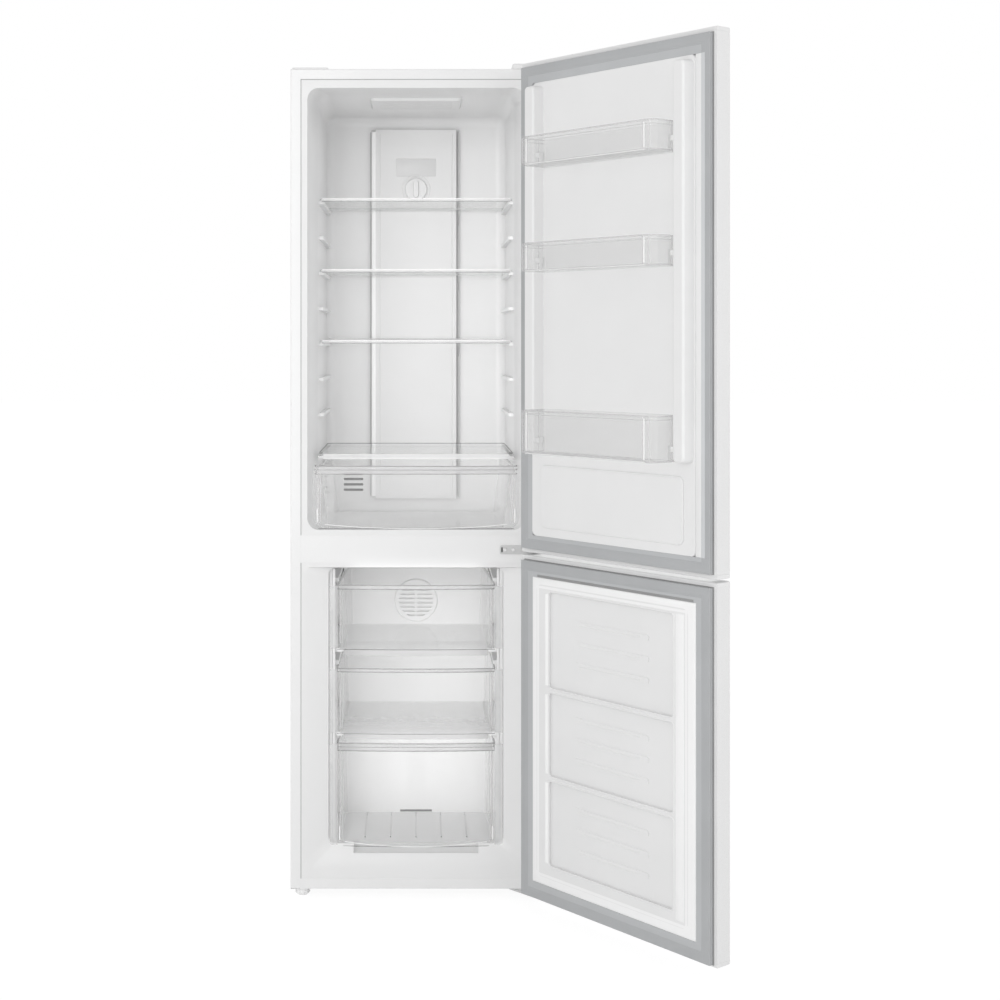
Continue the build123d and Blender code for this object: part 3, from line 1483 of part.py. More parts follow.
lug_v = door_inner - lug_setback
with BuildPart() as fridge_door_liner:
    with BuildSketch(door_face(door_inner + liner_wall)):
        span(sheet - hinge_inset, cabinet_width - hinge_inset - sheet,
             fridge_door_low + cap_height, fridge_door_high - cap_height)
    extrude(amount=liner_wall)
    add(fridge_bulge(0))
    add(fridge_bulge(liner_wall), mode=Mode.SUBTRACT)
    for low, height in bin_places:
        with BuildSketch(door_level(low + lug_level)):
            for flip in (-1, 1):
                span(door_middle + flip * (bin_half - lug_reach),
                     door_middle + flip * (dyke_half - dyke_width + 2 * liner_wall),
                     lug_v - lug_width / 2, lug_v + lug_width / 2)
        extrude(amount=lug_height)
save("fridge_door_liner", fridge_door_liner)

with BuildPart() as freezer_door_liner:
    with BuildSketch(door_face(door_inner + liner_wall)):
        span(sheet - hinge_inset, cabinet_width - hinge_inset - sheet,
             freezer_door_low + cap_height, freezer_door_high - cap_height)
    extrude(amount=liner_wall)
    add(freezer_bulge(0))
    add(freezer_bulge(liner_wall), mode=Mode.SUBTRACT)
    with BuildSketch(door_face(door_inner - freezer_bulge_height + panel_depth)):
        for low, high in zip(panel_lows, panel_highs):
            with Locations((door_middle, (low + high) / 2)):
                with GridLocations(0, panel_rib_pitch, 1, panel_rib_count):
                    SlotOverall(panel_rib[0], panel_rib[1])
    extrude(amount=panel_rib[2])
save("freezer_door_liner", freezer_door_liner)

for prefix, low, high, filling in (
    ("fridge_door", fridge_door_low, fridge_door_high, fridge_bulge(liner_wall)),
    ("freezer_door", freezer_door_low, freezer_door_high, freezer_bulge(liner_wall)),
):
    seal = (low + gasket_end_margins[prefix][0], high - gasket_end_margins[prefix][1])
    with BuildPart() as door_skin:
        with BuildSketch(door_level(low + cap_height)):
            add(door_plan(0, door_inner))
            add(door_plan(sheet, door_inner - 1), mode=Mode.SUBTRACT)
            for edge, way in ((sheet - hinge_inset, 1), (cabinet_width - hinge_inset - sheet, -1)):
                span(edge, edge + way * return_width, door_inner + liner_wall,
                     door_inner + liner_wall + sheet)
        extrude(amount=high - low - 2 * cap_height)
    save(f"{prefix}_skin", door_skin)

    with BuildPart() as door_caps:
        for edge, way in ((low, 1), (high, -1)):
            with BuildSketch(door_level(edge)):
                add(door_plan(0, door_inner))
            extrude(amount=way * cap_height)
            fillet(door_caps.faces().sort_by(Axis.Z)[0 if way > 0 else -1].edges(), cap_edge)
            with BuildSketch(door_level(edge + way * cap_wall)):
                add(door_plan(cap_side, door_inner + cap_side))
            extrude(amount=way * (cap_height - cap_wall), mode=Mode.SUBTRACT)
            with BuildSketch(door_level(edge + way * cap_wall)):
                Circle(pin_radius + boss_wall)
            extrude(amount=way * (pin_length + pin_end_gap - cap_wall))
            with BuildSketch(door_level(edge)):
                Circle(pin_radius + pin_clearance)
            extrude(amount=way * (pin_length + 1), mode=Mode.SUBTRACT)
    save(f"{prefix}_caps", door_caps)

    with BuildPart() as door_foam:
        with BuildSketch(door_level(low + cap_height)):
            add(door_plan(sheet, door_inner + liner_wall))
        extrude(amount=high - low - 2 * cap_height)
        with BuildSketch(door_level(low + cap_wall)):
            add(door_plan(cap_side, door_inner + cap_side))
        extrude(amount=high - low - 2 * cap_wall)
        add(filling)
        add(door_skin.part, mode=Mode.SUBTRACT)
        add(door_caps.part, mode=Mode.SUBTRACT)
        with BuildSketch(door_level(low)):
            Circle(pin_radius + pin_clearance)
        extrude(amount=pin_length + 1, mode=Mode.SUBTRACT)
        with BuildSketch(door_level(high)):
            Circle(pin_radius + pin_clearance)
        extrude(amount=-pin_length - 1, mode=Mode.SUBTRACT)
    save(f"{prefix}_foam", door_foam)

    with BuildPart() as door_gasket:
        behind_waist = gasket_lip + gasket_waist
        for start, depth, waist in ((0, gasket_lip, 0), (gasket_lip, gasket_waist, gasket_lip),
                                    (behind_waist, gasket_gap - gasket_squash - behind_waist, 0)):
            with BuildSketch(door_face(door_inner - start)):
                for ring, mode in ((gasket_margin + waist, Mode.ADD),
                                   (gasket_margin + gasket_width - waist, Mode.SUBTRACT)):
                    past = ring - gasket_margin
                    span(ring - hinge_inset, cabinet_width - hinge_inset - ring,
                         seal[0] + past, seal[1] - past, mode=mode)
            extrude(amount=depth)
    save(f"{prefix}_gasket", door_gasket)

# Door bins, hung on the dykes' lugs by a groove in each end
bin_back = door_inner - plateau_height - bin_clearance
groove_depth = lug_reach + bin_clearance
groove_half = lug_width / 2 + bin_clearance
groove_high = lug_level + lug_height


def bin_plan(inset):
    with BuildSketch() as plan:
        span(door_middle - bin_half + inset, door_middle + bin_half - inset,
             door_inner - bin_front + inset, bin_back - inset)
        fillet(plan.vertices().group_by(Axis.Y)[0], bin_corner - inset)
        fillet(plan.vertices().group_by(Axis.Y)[-1], 4)
    return plan.sketch


for word, (low, height) in zip(("low", "middle", "high"), bin_places):
    with BuildPart() as door_bin:
        with BuildSketch(door_level(low)):
            add(bin_plan(0))
        extrude(amount=height)
        with BuildSketch(door_level(low + bin_wall)):
            add(bin_plan(bin_wall))
            for flip in (-1, 1):
                span(door_middle + flip * (bin_half - groove_depth - bin_wall), door_middle + flip * bin_half,
                     lug_v - groove_half - bin_wall, lug_v + groove_half + bin_wall, mode=Mode.SUBTRACT)
        extrude(amount=groove_high, mode=Mode.SUBTRACT)
        with BuildSketch(door_level(low + groove_high + bin_wall)):
            add(bin_plan(bin_wall))
        extrude(amount=height, mode=Mode.SUBTRACT)
        with BuildSketch(door_level(low)):
            for flip in (-1, 1):
                span(door_middle + flip * (bin_half - groove_depth), door_middle + flip * (bin_half + 1),
                     lug_v - groove_half, lug_v + groove_half)
        extrude(amount=groove_high, mode=Mode.SUBTRACT)
    save(f"door_bin_{word}", door_bin)
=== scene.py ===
"""Finishes, soft edges and fine detail of the bottom freezer refrigerator, around its frame.

Metres, and millimetres for the fine detail. X points right, Y points back and Z points up.
"""

import json
from math import cos, pi, radians, sin

import bmesh
import bpy
from mathutils import Matrix, Vector


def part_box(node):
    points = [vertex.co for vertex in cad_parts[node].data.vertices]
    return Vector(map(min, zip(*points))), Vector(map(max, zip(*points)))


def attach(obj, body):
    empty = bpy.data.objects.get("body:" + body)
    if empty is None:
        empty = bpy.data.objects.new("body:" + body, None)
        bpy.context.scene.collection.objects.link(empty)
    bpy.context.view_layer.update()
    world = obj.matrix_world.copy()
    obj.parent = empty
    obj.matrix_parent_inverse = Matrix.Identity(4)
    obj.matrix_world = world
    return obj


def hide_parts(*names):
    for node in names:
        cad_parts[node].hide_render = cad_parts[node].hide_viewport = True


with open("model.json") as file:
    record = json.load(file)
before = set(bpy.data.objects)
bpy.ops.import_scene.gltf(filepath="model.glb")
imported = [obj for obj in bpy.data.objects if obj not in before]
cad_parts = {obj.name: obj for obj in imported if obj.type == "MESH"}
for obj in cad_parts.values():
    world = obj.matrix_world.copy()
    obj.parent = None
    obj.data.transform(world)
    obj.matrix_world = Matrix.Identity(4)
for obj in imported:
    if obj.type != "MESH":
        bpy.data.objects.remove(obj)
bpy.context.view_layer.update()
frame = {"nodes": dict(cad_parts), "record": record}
BODIES = frame["record"]["behaviour"]["bodies"]
BODY_OF = {name: body for body, names in BODIES.items() for name in names}
SLOT_OF = {part["node"]: part["material_slot"] for part in frame["record"]["subparts"]}

# Camera, from the photograph's perspective: its focal length and the pixel its axis goes through
CAMERA_PLACE = (0.0, -3.565, 1.204)
FOCAL_PIXELS = 1642.0
AXIS_PIXEL = (416.0, 343.4)
PICTURE_PIXELS = 1000.0
SENSOR = 36.0

# The doors stand open by this much from closed, about a hinge axis at the cabinet's right
DOOR_OPEN = radians(128.5)


# ---------------------------------------------------------------- node trees


def new_material(name):
    """A material whose tree holds nothing but its output."""
    material = bpy.data.materials.new(name)
    material.use_nodes = True
    tree = material.node_tree
    tree.nodes.clear()
    return material, tree, tree.nodes.new("ShaderNodeOutputMaterial")


def node(tree, kind, inputs=None, **settings):
    """A new node with its settings and its inputs, which are values or other nodes' sockets."""
    made = tree.nodes.new(kind)
    for key, value in settings.items():
        setattr(made, key, value)
    for key, value in (inputs or {}).items():
        if isinstance(value, bpy.types.NodeSocket):
            tree.links.new(value, made.inputs[key])
        else:
            made.inputs[key].default_value = value
    return made


def speckle(tree, grains_per_metre, detail=2.0):
    """Noise on object coordinates, with this many grains to a metre."""
    place = node(tree, "ShaderNodeTexCoord")
    noise = node(tree, "ShaderNodeTexNoise", {"Vector": place.outputs["Object"],
                                              "Scale": grains_per_metre, "Detail": detail,
                                              "Roughness": 0.55})
    return noise.outputs["Fac"]


def ramp(tree, factor, low, high, low_at, high_at):
    """The factor mapped from low_at..high_at to two values or two colours."""
    reach = {"Value": factor, "From Min": low_at, "From Max": high_at}
    if isinstance(low, tuple):
        share = node(tree, "ShaderNodeMapRange", reach)
        blend = node(tree, "ShaderNodeMix", {"Factor": share.outputs["Result"],
                                             "A": (*low, 1.0), "B": (*high, 1.0)}, data_type="RGBA")
        return blend.outputs["Result"]
    return node(tree, "ShaderNodeMapRange",
                {**reach, "To Min": low, "To Max": high}).outputs["Result"]


def bump(tree, height, depth):
    return node(tree, "ShaderNodeBump", {"Height": height, "Distance": depth,
                                         "Strength": 1.0}).outputs["Normal"]


def grey(value, tint=(1.0, 1.0, 1.0)):
    return tuple(value * part for part in tint)


# ---------------------------------------------------------------- finishes


# How far a solid surface's roughness strays, and how many patches of tone it has to a metre
ROUGH_SPREAD = 0.06
TONE_PATCHES = 7.0
# How many soft waves a clear wall has to a metre
WALL_WAVES = 55.0


def solid_finish(name, tone, roughness, grain, grain_depth, spread, metallic=0.0, coat=0.0,
                 tint=(1.0, 1.0, 1.0)):
    """A painted, moulded or rolled surface: its tone drifts, a fine grain breaks its gloss."""
    material, tree, output = new_material(name)
    drift = speckle(tree, TONE_PATCHES, 3.0)
    fine = speckle(tree, grain)
    darkest, lightest = tone * (1 - spread), min(1.0, tone * (1 + spread))
    colour = ramp(tree, drift, grey(darkest, tint), grey(lightest, tint), 0.3, 0.7)
    rough = ramp(tree, fine, roughness - ROUGH_SPREAD, roughness + ROUGH_SPREAD, 0.3, 0.7)
    skin = node(tree, "ShaderNodeBsdfPrincipled",
                {"Base Color": colour, "Roughness": rough, "Metallic": metallic,
                 "Coat Weight": coat, "Coat Roughness": 0.12,
                 "Normal": bump(tree, fine, grain_depth)})
    tree.links.new(skin.outputs["BSDF"], output.inputs["Surface"])
    return material


def clear_finish(name, tones, opacities, roughness=0.08, tint=(1.0, 1.0, 1.0), grain_depth=0.00003):
    """Thin clear plastic or glass: it shows what is behind it, and closes up seen edge on.

    The tones and the opacities are pairs: seen face on, then seen edge on.
    """
    material, tree, output = new_material(name)
    waves = speckle(tree, WALL_WAVES)
    facing = node(tree, "ShaderNodeLayerWeight", {"Blend": 0.5}).outputs["Facing"]
    alpha = ramp(tree, facing, *opacities, 0.25, 0.95)
    colour = ramp(tree, facing, *[grey(tone, tint) for tone in tones], 0.35, 0.95)
    rough = ramp(tree, waves, roughness * 0.7, roughness * 1.3, 0.35, 0.65)
    skin = node(tree, "ShaderNodeBsdfPrincipled",
                {"Base Color": colour, "Roughness": rough, "Alpha": alpha,
                 "Normal": bump(tree, waves, grain_depth)})
    tree.links.new(skin.outputs["BSDF"], output.inputs["Surface"])
    return material


# Tints of what isn't a neutral grey
VINYL = (0.98, 1.0, 1.02)
RED_COPPER = (1.0, 0.58, 0.42)
STRAW = (1.0, 0.93, 0.72)
GREENISH = (0.97, 1.0, 0.99)

# Each solid finish: tone, roughness, grains to a metre, their depth in metres, drift of the tone
ENAMEL = solid_finish("white_enamel", 0.84, 0.30, 900.0, 0.000012, 0.008, coat=0.35)
# A darker copy of the white enamel: painted shade on the doors
SHADED_DOOR_ENAMEL = solid_finish("door_enamel_painted_shade", 0.785, 0.30, 900.0, 0.000012, 0.008, coat=0.35)
LINER = solid_finish("liner_polystyrene", 0.82, 0.34, 420.0, 0.00001, 0.012)
# A lighter copy of the liner: a painted highlight on the freezer door's shoulder and free margin
LIT_LINER = solid_finish("liner_painted_highlight", 0.93, 0.34, 420.0, 0.00001, 0.008)
MOULDED = solid_finish("moulded_white", 0.80, 0.42, 1500.0, 0.00002, 0.01)
DUCT = solid_finish("duct_panel_white", 0.77, 0.40, 500.0, 0.00001, 0.01)
GASKET_FLAP = solid_finish("soft_grey_vinyl", 0.50, 0.55, 700.0, 0.00002, 0.03, tint=VINYL)
# A lighter copy of the flap's vinyl: a painted highlight on the upper door's free side
LIT_GASKET_FLAP = solid_finish("vinyl_painted_highlight", 0.64, 0.55, 700.0, 0.00002, 0.02, tint=VINYL)
GASKET = solid_finish("grey_vinyl", 0.44, 0.52, 700.0, 0.00002, 0.04, tint=VINYL)
ZINC = solid_finish("zinc_sheet", 0.58, 0.42, 160.0, 0.00002, 0.025, metallic=0.8)
PLATED = solid_finish("plated_steel", 0.62, 0.30, 1200.0, 0.00001, 0.05, metallic=0.95)
HINGE_PAINT = solid_finish("hinge_paint", 0.60, 0.40, 900.0, 0.00002, 0.02)
COPPER = solid_finish("copper_pipe", 0.75, 0.30, 300.0, 0.00001, 0.12, 1.0, tint=RED_COPPER)
ALUMINIUM = solid_finish("rolled_aluminium", 0.78, 0.32, 500.0, 0.00002, 0.05, metallic=0.95)
BLACK_ENAMEL = solid_finish("black_enamel", 0.025, 0.30, 700.0, 0.00003, 0.15, coat=0.3)
BLACK_PLASTIC = solid_finish("black_plastic", 0.035, 0.50, 1200.0, 0.00003, 0.12)
RUBBER = solid_finish("black_rubber", 0.03, 0.65, 900.0, 0.00004, 0.15)
NYLON = solid_finish("dark_nylon", 0.05, 0.45, 900.0, 0.00003, 0.10)
FOAM = solid_finish("poured_foam", 0.75, 0.85, 250.0, 0.0004, 0.08, tint=STRAW)
KNOB = solid_finish("knob_white", 0.78, 0.30, 1200.0, 0.00001, 0.01)
# Soft painted shadow lines beside the air duct's edges
SOFT_SHADE = solid_finish("soft_painted_shade", 0.40, 0.60, 900.0, 0.00002, 0.10)
# Painted shadow lines in joints, the seals' grooves, under the flap's head and under the shelves'
# strips; also the dark grey of the crisper cover's clips
SHADOW_AND_CLIP_GREY = solid_finish("painted_shadow_and_clip_grey", 0.30, 0.60, 900.0, 0.00002, 0.10)
# Painted shade in slots and hollows
HOLLOW_SHADE = solid_finish("painted_hollow_shade", 0.03, 0.80, 700.0, 0.00003, 0.15)
# Painted highlights on edges and corners, and the feet whitened against their shade
PAINTED_HIGHLIGHT = solid_finish("painted_highlight_white", 0.97, 0.12, 700.0, 0.000004, 0.004, coat=0.6)
# Mid grey: painted shade under the freezer door's rib crowns, and the duct window's pane
MID_GREY = solid_finish("mid_grey", 0.70, 0.42, 700.0, 0.00001, 0.02)
FAN = solid_finish("fan_plastic", 0.79, 0.50, 1200.0, 0.00003, 0.04)

# Each clear finish: tones face on and edge on, opacities face on and edge on, roughness
CLEAR = clear_finish("clear_polystyrene", (0.82, 0.67), (0.08, 0.58))
CLEAR_EDGE = clear_finish("clear_polystyrene_thick", (0.66, 0.42), (0.38, 0.80))
CLEAR_RIM = clear_finish("clear_polystyrene_rim", (0.24, 0.16), (0.55, 0.80), 0.40)
CLEAR_BIN = clear_finish("clear_bin_polystyrene", (0.62, 0.48), (0.13, 0.60), 0.12)
# Grey bands of painted shade across the tubs' fronts and under them
CLEAR_SHADE_BAND = clear_finish("clear_painted_shade_band", (0.50, 0.45), (0.45, 0.60), 0.45)
CLEAR_TRIM = clear_finish("clear_trim", (0.84, 0.64), (0.36, 0.80))
GLASS = clear_finish("shelf_glass", (0.78, 0.60), (0.08, 0.34), 0.04, GREENISH, 0.0)
LENS = clear_finish("frosted_lens", (0.84, 0.78), (0.93, 0.97), 0.45, grain_depth=0.00001)

FINISH_OF_SLOT = {
    "shell_paint": ENAMEL, "rail_paint": ENAMEL, "door_paint": SHADED_DOOR_ENAMEL, "back_steel": ZINC,
    "base_steel": ENAMEL, "hinge_paint": HINGE_PAINT, "screw_steel": PLATED, "pipe_metal": COPPER,
    "compressor_paint": BLACK_ENAMEL, "fin_aluminium": ALUMINIUM, "liner_plastic": LINER,
    "duct_plastic": DUCT, "cover_plastic": MOULDED, "knob_plastic": KNOB,
    "trim_plastic": CLEAR_TRIM, "lens_plastic": LENS, "clear_plastic": CLEAR,
    "shelf_glass": GLASS, "gasket_rubber": GASKET, "black_rubber": RUBBER,
    "foot_plastic": PAINTED_HIGHLIGHT, "roller_plastic": NYLON, "fan_plastic": FAN,
    "tray_plastic": BLACK_PLASTIC, "foam": FOAM,
}


# ---------------------------------------------------------------- pieces


def mount_piece(piece, body, material):
    """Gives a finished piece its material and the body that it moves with."""
    piece.data.materials.clear()
    piece.data.materials.append(material)
    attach(piece, body)
    return piece


# Corners this near are one, faces this nearly level are one, and an edge this sharp is rounded
SAME_PLACE = 0.00001
LEVEL_WITHIN = radians(0.4)
SHARP_FROM = radians(38.0)
# Faces that meet at less than this many degrees are shaded as one surface
SMOOTH_WITHIN = 32.0


def smooth_by_angle(mesh, angle):
    mesh.shade_smooth()
    mesh.set_sharp_from_angle(angle=radians(angle))


def outer_edges(shape, edges):
    """Those of the edges that lie along the shape's own box, where two of its outer faces meet."""
    low = Vector([min(vert.co[axis] for vert in shape.verts) for axis in range(3)])
    high = Vector([max(vert.co[axis] for vert in shape.verts) for axis in range(3)])

    def extremes(vert):
        return {(axis, end) for axis in range(3) for end, side in enumerate((low, high))
                if abs(vert.co[axis] - side[axis]) < 2 * SAME_PLACE}

    return [edge for edge in edges if len(extremes(edge.verts[0]) & extremes(edge.verts[1])) > 1]


def round_edges(shape, edges, offset, segments=2, clamp=True):
    return bmesh.ops.bevel(shape, geom=list(edges), offset=offset, segments=segments, profile=0.5,
                           affect="EDGES", clamp_overlap=clamp)


def softened(name, edge, bend, hollows):
    """A copy of a frame node with its corners broken by a small round.

    A bend gives the edges along the node's own box a wider round, as folded sheet has. Without
    hollows, only the standing corners are rounded.
    """
    mesh = frame["nodes"][name].data.copy()
    shape = bmesh.new()
    shape.from_mesh(mesh)
    bmesh.ops.remove_doubles(shape, verts=shape.verts, dist=SAME_PLACE)
    bmesh.ops.dissolve_limit(shape, angle_limit=LEVEL_WITHIN, verts=shape.verts, edges=shape.edges)
    sharp = [e for e in shape.edges if len(e.link_faces) == 2
             and e.calc_face_angle(0.0) > SHARP_FROM and (hollows or e.is_convex)]
    if bend:
        folded = outer_edges(shape, sharp)
        sharp = [e for e in sharp if e not in folded]
        bent = round_edges(shape, folded, bend, segments=5, clamp=False)["faces"]
        sharp = [e for e in sharp if e.is_valid and not any(f in bent for f in e.link_faces)]
    round_edges(shape, sharp, edge)
    shape.to_mesh(mesh)
    shape.free()
    smooth_by_angle(mesh, SMOOTH_WITHIN)
    piece = bpy.data.objects.new(f"{name}_finished", mesh)
    bpy.context.scene.collection.objects.link(piece)
    return piece


def flat_faces_kept(pieces):
    """Weighs the corner normals by area, so that broad faces stay flat beside their rounds."""
    for piece in pieces:
        piece.modifiers.new("weigh", "WEIGHTED_NORMAL").keep_sharp = True
    graph = bpy.context.evaluated_depsgraph_get()
    meshes = [bpy.data.meshes.new_from_object(piece.evaluated_get(graph)) for piece in pieces]
    for piece, mesh in zip(pieces, meshes):
        piece.modifiers.clear()
        piece.data = mesh


def let_light_through(piece):
    """Clear walls this thin cast next to no shadow, and many of them stand one behind the other."""
    piece.visible_shadow = False
    piece.visible_diffuse = False


# The rounds of the nodes' corners, in metres
FINE_ROUND = 0.0005
ROUND_OF = {"fridge_liner": 0.0018, "freezer_liner": 0.0016, "cabinet_shell": 0.0014,
            "duct_cover": 0.0012, "fridge_door_skin": 0.0014, "freezer_door_skin": 0.0014,
            "fridge_door_caps": 0.0026, "freezer_door_caps": 0.0026}
BEND_OF = {"cabinet_shell": 0.0025}
# These pass close by a neighbour when a door swings, so their hollow corners stay as they are
CLOSE_PASSING = ("fridge_door_skin", "freezer_door_skin", "hinge_top", "hinge_middle",
                 "hinge_bottom", "hinge_screws")
HIDDEN_NODES = ("cabinet_insulation", "fridge_door_foam", "freezer_door_foam")
REMADE_NODES = ("fridge_door_gasket", "freezer_door_gasket")
CLEAR_SLOTS = ("clear_plastic", "shelf_glass", "lens_plastic")

finished = {}
for name in sorted(frame["nodes"]):
    if name in HIDDEN_NODES:
        frame["nodes"][name].material_slots[0].material = FINISH_OF_SLOT[SLOT_OF[name]]
    elif name not in REMADE_NODES:
        finished[name] = softened(name, ROUND_OF.get(name, FINE_ROUND), BEND_OF.get(name, 0.0),
                                  name not in CLOSE_PASSING)
flat_faces_kept(list(finished.values()))
for name, piece in finished.items():
    finish = CLEAR_BIN if name.startswith("door_bin") else FINISH_OF_SLOT[SLOT_OF[name]]
    mount_piece(piece, BODY_OF[name], finish)
    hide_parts(name)
    if SLOT_OF[name] in CLEAR_SLOTS:
        let_light_through(piece)


# ---------------------------------------------------------------- tools for the detail


def mm(*values):
    return Vector([value / 1000.0 for value in values])


def made(name, shape, body, material, slot, angle=SMOOTH_WITHIN):
    """Turns a finished bmesh into a piece that rides on a body."""
    bmesh.ops.recalc_face_normals(shape, faces=shape.faces)
    mesh = bpy.data.meshes.new(name)
    shape.to_mesh(mesh)
    shape.free()
    smooth_by_angle(mesh, angle)
    piece = bpy.data.objects.new(name, mesh)
    bpy.context.scene.collection.objects.link(piece)
    return mount_piece(piece, body, material)


def made_clear(name, shape, body, material, slot="clear_plastic"):
    """A piece of clear plastic or glass."""
    let_light_through(made(name, shape, body, material, slot))


def bar(shape, low, high, round_by=0.4):
    """Adds a bar between two corners in millimetres, with rounded edges."""
    low, high = mm(*low), mm(*high)
    size = high - low
    part = bmesh.ops.create_cube(shape, size=1.0, matrix=Matrix.Translation((low + high) / 2)
                                 @ Matrix.Diagonal((*size, 1.0)))
    edges = {edge for vert in part["verts"] for edge in vert.link_edges}
    if round_by:
        round_edges(shape, edges, min(round_by / 1000.0, min(size) * 0.45))


def bars(*rows):
    """A shape made of bars, each a row of its two corners and its rounding."""
    shape = bmesh.new()
    for low, high, round_by in rows:
        bar(shape, low, high, round_by)
    return shape


def bar_pair(shape, low, high, round_by=0.4):
    """Adds a bar on the right and its mirror image on the left."""
    bar(shape, (-high[0], *low[1:]), (-low[0], *high[1:]), round_by)
    bar(shape, low, high, round_by)


def join_rings(shape, rings):
    """Adds the faces between each closed ring of corners and the next one."""
    for first, second in zip(rings, rings[1:]):
        for here in range(len(first)):
            after = (here + 1) % len(first)
            shape.faces.new((first[here], first[after], second[after], second[here]))


def frame_loop(half, low, high, profile):
    """A mitred rectangular frame. The profile's points are (inward, depth), in millimetres.

    An inward that differs between the sides, the foot and the head is given as all three.
    """
    shape = bmesh.new()
    loops = []
    for inward, depth in profile:
        sides, foot, head = inward if isinstance(inward, tuple) else (inward, inward, inward)
        x, z0, z1 = half - sides, low + foot, high - head
        loops.append([shape.verts.new(mm(*corner)) for corner in
                      ((-x, depth, z0), (x, depth, z0), (x, depth, z1), (-x, depth, z1))])
    join_rings(shape, loops)
    return shape


def rounded(points, radius, steps):
    """The closed outline's corners as arcs of the radius."""
    outline = []
    for before, here, after in zip(points[-1:] + points[:-1], points, points[1:] + points[:1]):
        corner = Vector(here)
        back, ahead = Vector(before) - corner, Vector(after) - corner
        reach = min(radius, back.length / 2.1, ahead.length / 2.1)
        start, end = corner + back.normalized() * reach, corner + ahead.normalized() * reach
        for step in range(steps + 1):
            share = step / steps
            outline.append(tuple(start.lerp(corner, share).lerp(corner.lerp(end, share), share)))
    return outline


def new_tree(name, inputs):
    """An empty geometry tree with named inputs. The inputs are (name, socket type) pairs."""
    tree = bpy.data.node_groups.new(name, "GeometryNodeTree")
    tree.interface.new_socket("Geometry", in_out="INPUT", socket_type="NodeSocketGeometry")
    for label, kind in inputs:
        tree.interface.new_socket(label, in_out="INPUT", socket_type=kind)
    tree.interface.new_socket("Geometry", in_out="OUTPUT", socket_type="NodeSocketGeometry")
    return tree, node(tree, "NodeGroupInput"), node(tree, "NodeGroupOutput")


def end_tree(tree, geometry, entry, leave):
    """Every tree ends with its copies made real and its material set."""
    real = node(tree, "GeometryNodeRealizeInstances", {"Geometry": geometry})
    dressed = node(tree, "GeometryNodeSetMaterial", {"Geometry": real.outputs["Geometry"],
                                                     "Material": entry.outputs["Material"]})
    tree.links.new(dressed.outputs["Geometry"], leave.inputs["Geometry"])


def bead_tree():
    """A round bead along a path of edges, with the path's corners rounded."""
    tree, entry, leave = new_tree("bead_along_path", (("Radius", "NodeSocketFloat"),
                                                      ("Corner", "NodeSocketFloat"),
                                                      ("Material", "NodeSocketMaterial")))
    path = node(tree, "GeometryNodeMeshToCurve", {"Mesh": entry.outputs["Geometry"]})
    path = node(tree, "GeometryNodeFilletCurve",
                {"Curve": path.outputs["Curve"], "Count": 5, "Radius": entry.outputs["Corner"],
                 "Limit Radius": True}, mode="POLY")
    round_section = node(tree, "GeometryNodeCurvePrimitiveCircle",
                         {"Resolution": 10, "Radius": entry.outputs["Radius"]})
    bead = node(tree, "GeometryNodeCurveToMesh", {"Curve": path.outputs["Curve"],
                                                  "Profile Curve": round_section.outputs["Curve"],
                                                  "Fill Caps": True})
    end_tree(tree, bead.outputs["Mesh"], entry, leave)
    return tree


def row_tree():
    """Copies of a shape in a straight row."""
    tree, entry, leave = new_tree("row_of_copies", (("Count", "NodeSocketInt"),
                                                    ("Step", "NodeSocketVector"),
                                                    ("Material", "NodeSocketMaterial")))
    places = node(tree, "GeometryNodeMeshLine", {"Count": entry.outputs["Count"],
                                                 "Offset": entry.outputs["Step"]}, mode="OFFSET")
    copies = node(tree, "GeometryNodeInstanceOnPoints", {"Points": places.outputs["Mesh"],
                                                         "Instance": entry.outputs["Geometry"]})
    end_tree(tree, copies.outputs["Instances"], entry, leave)
    return tree


BEAD_TREE = bead_tree()
ROW_TREE = row_tree()


def baked(mesh, tree, values):
    """The mesh that a geometry tree makes of another one."""
    carrier = bpy.data.objects.new("carrier", mesh)
    bpy.context.scene.collection.objects.link(carrier)
    grower = carrier.modifiers.new("grower", "NODES")
    grower.node_group = tree
    for socket in tree.interface.items_tree:
        if socket.item_type == "SOCKET" and socket.in_out == "INPUT" and socket.name in values:
            grower[socket.identifier] = values[socket.name]
    graph = bpy.context.evaluated_depsgraph_get()
    grown = bpy.data.meshes.new_from_object(carrier.evaluated_get(graph))
    carrier.modifiers.clear()
    bpy.data.objects.remove(carrier)
    return grown


def bead(shape, path, radius, corner=0.0, closed=False):
    """Adds a bead of a radius along a path, all in millimetres."""
    line = bpy.data.meshes.new("path")
    last = len(path) - 1
    edges = [(here, here + 1) for here in range(last)] + ([(last, 0)] if closed else [])
    line.from_pydata([mm(*point) for point in path], edges, [])
    shape.from_mesh(baked(line, BEAD_TREE, {"Radius": radius / 1000.0, "Corner": corner / 1000.0}))


def row(shape, first, count, step):
    """Adds copies of a small bmesh in a row, a step apart in millimetres."""
    mesh = bpy.data.meshes.new("row")
    first.to_mesh(mesh)
    first.free()
    shape.from_mesh(baked(mesh, ROW_TREE, {"Count": count, "Step": tuple(mm(*step))}))


def corners(name):
    """A node's lowest and highest corner, in millimetres."""
    low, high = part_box(name)
    return [v * 1000.0 for v in low], [v * 1000.0 for v in high]


# The axis that both doors swing about, and the turn from shut to how they stand
HINGE = mm(259.5, -43.0, 0.0)
SWUNG = Matrix.Translation(HINGE) @ Matrix.Rotation(DOOR_OPEN, 4, "Z") @ Matrix.Translation(-HINGE)


def on_door(name, shape, body, material, slot, angle=SMOOTH_WITHIN):
    """A piece that is modelled on the shut door and turned to where the open door holds it."""
    bmesh.ops.transform(shape, matrix=SWUNG, verts=shape.verts)
    return made(name, shape, body, material, slot, angle)


# ---------------------------------------------------------------- detail on the doors

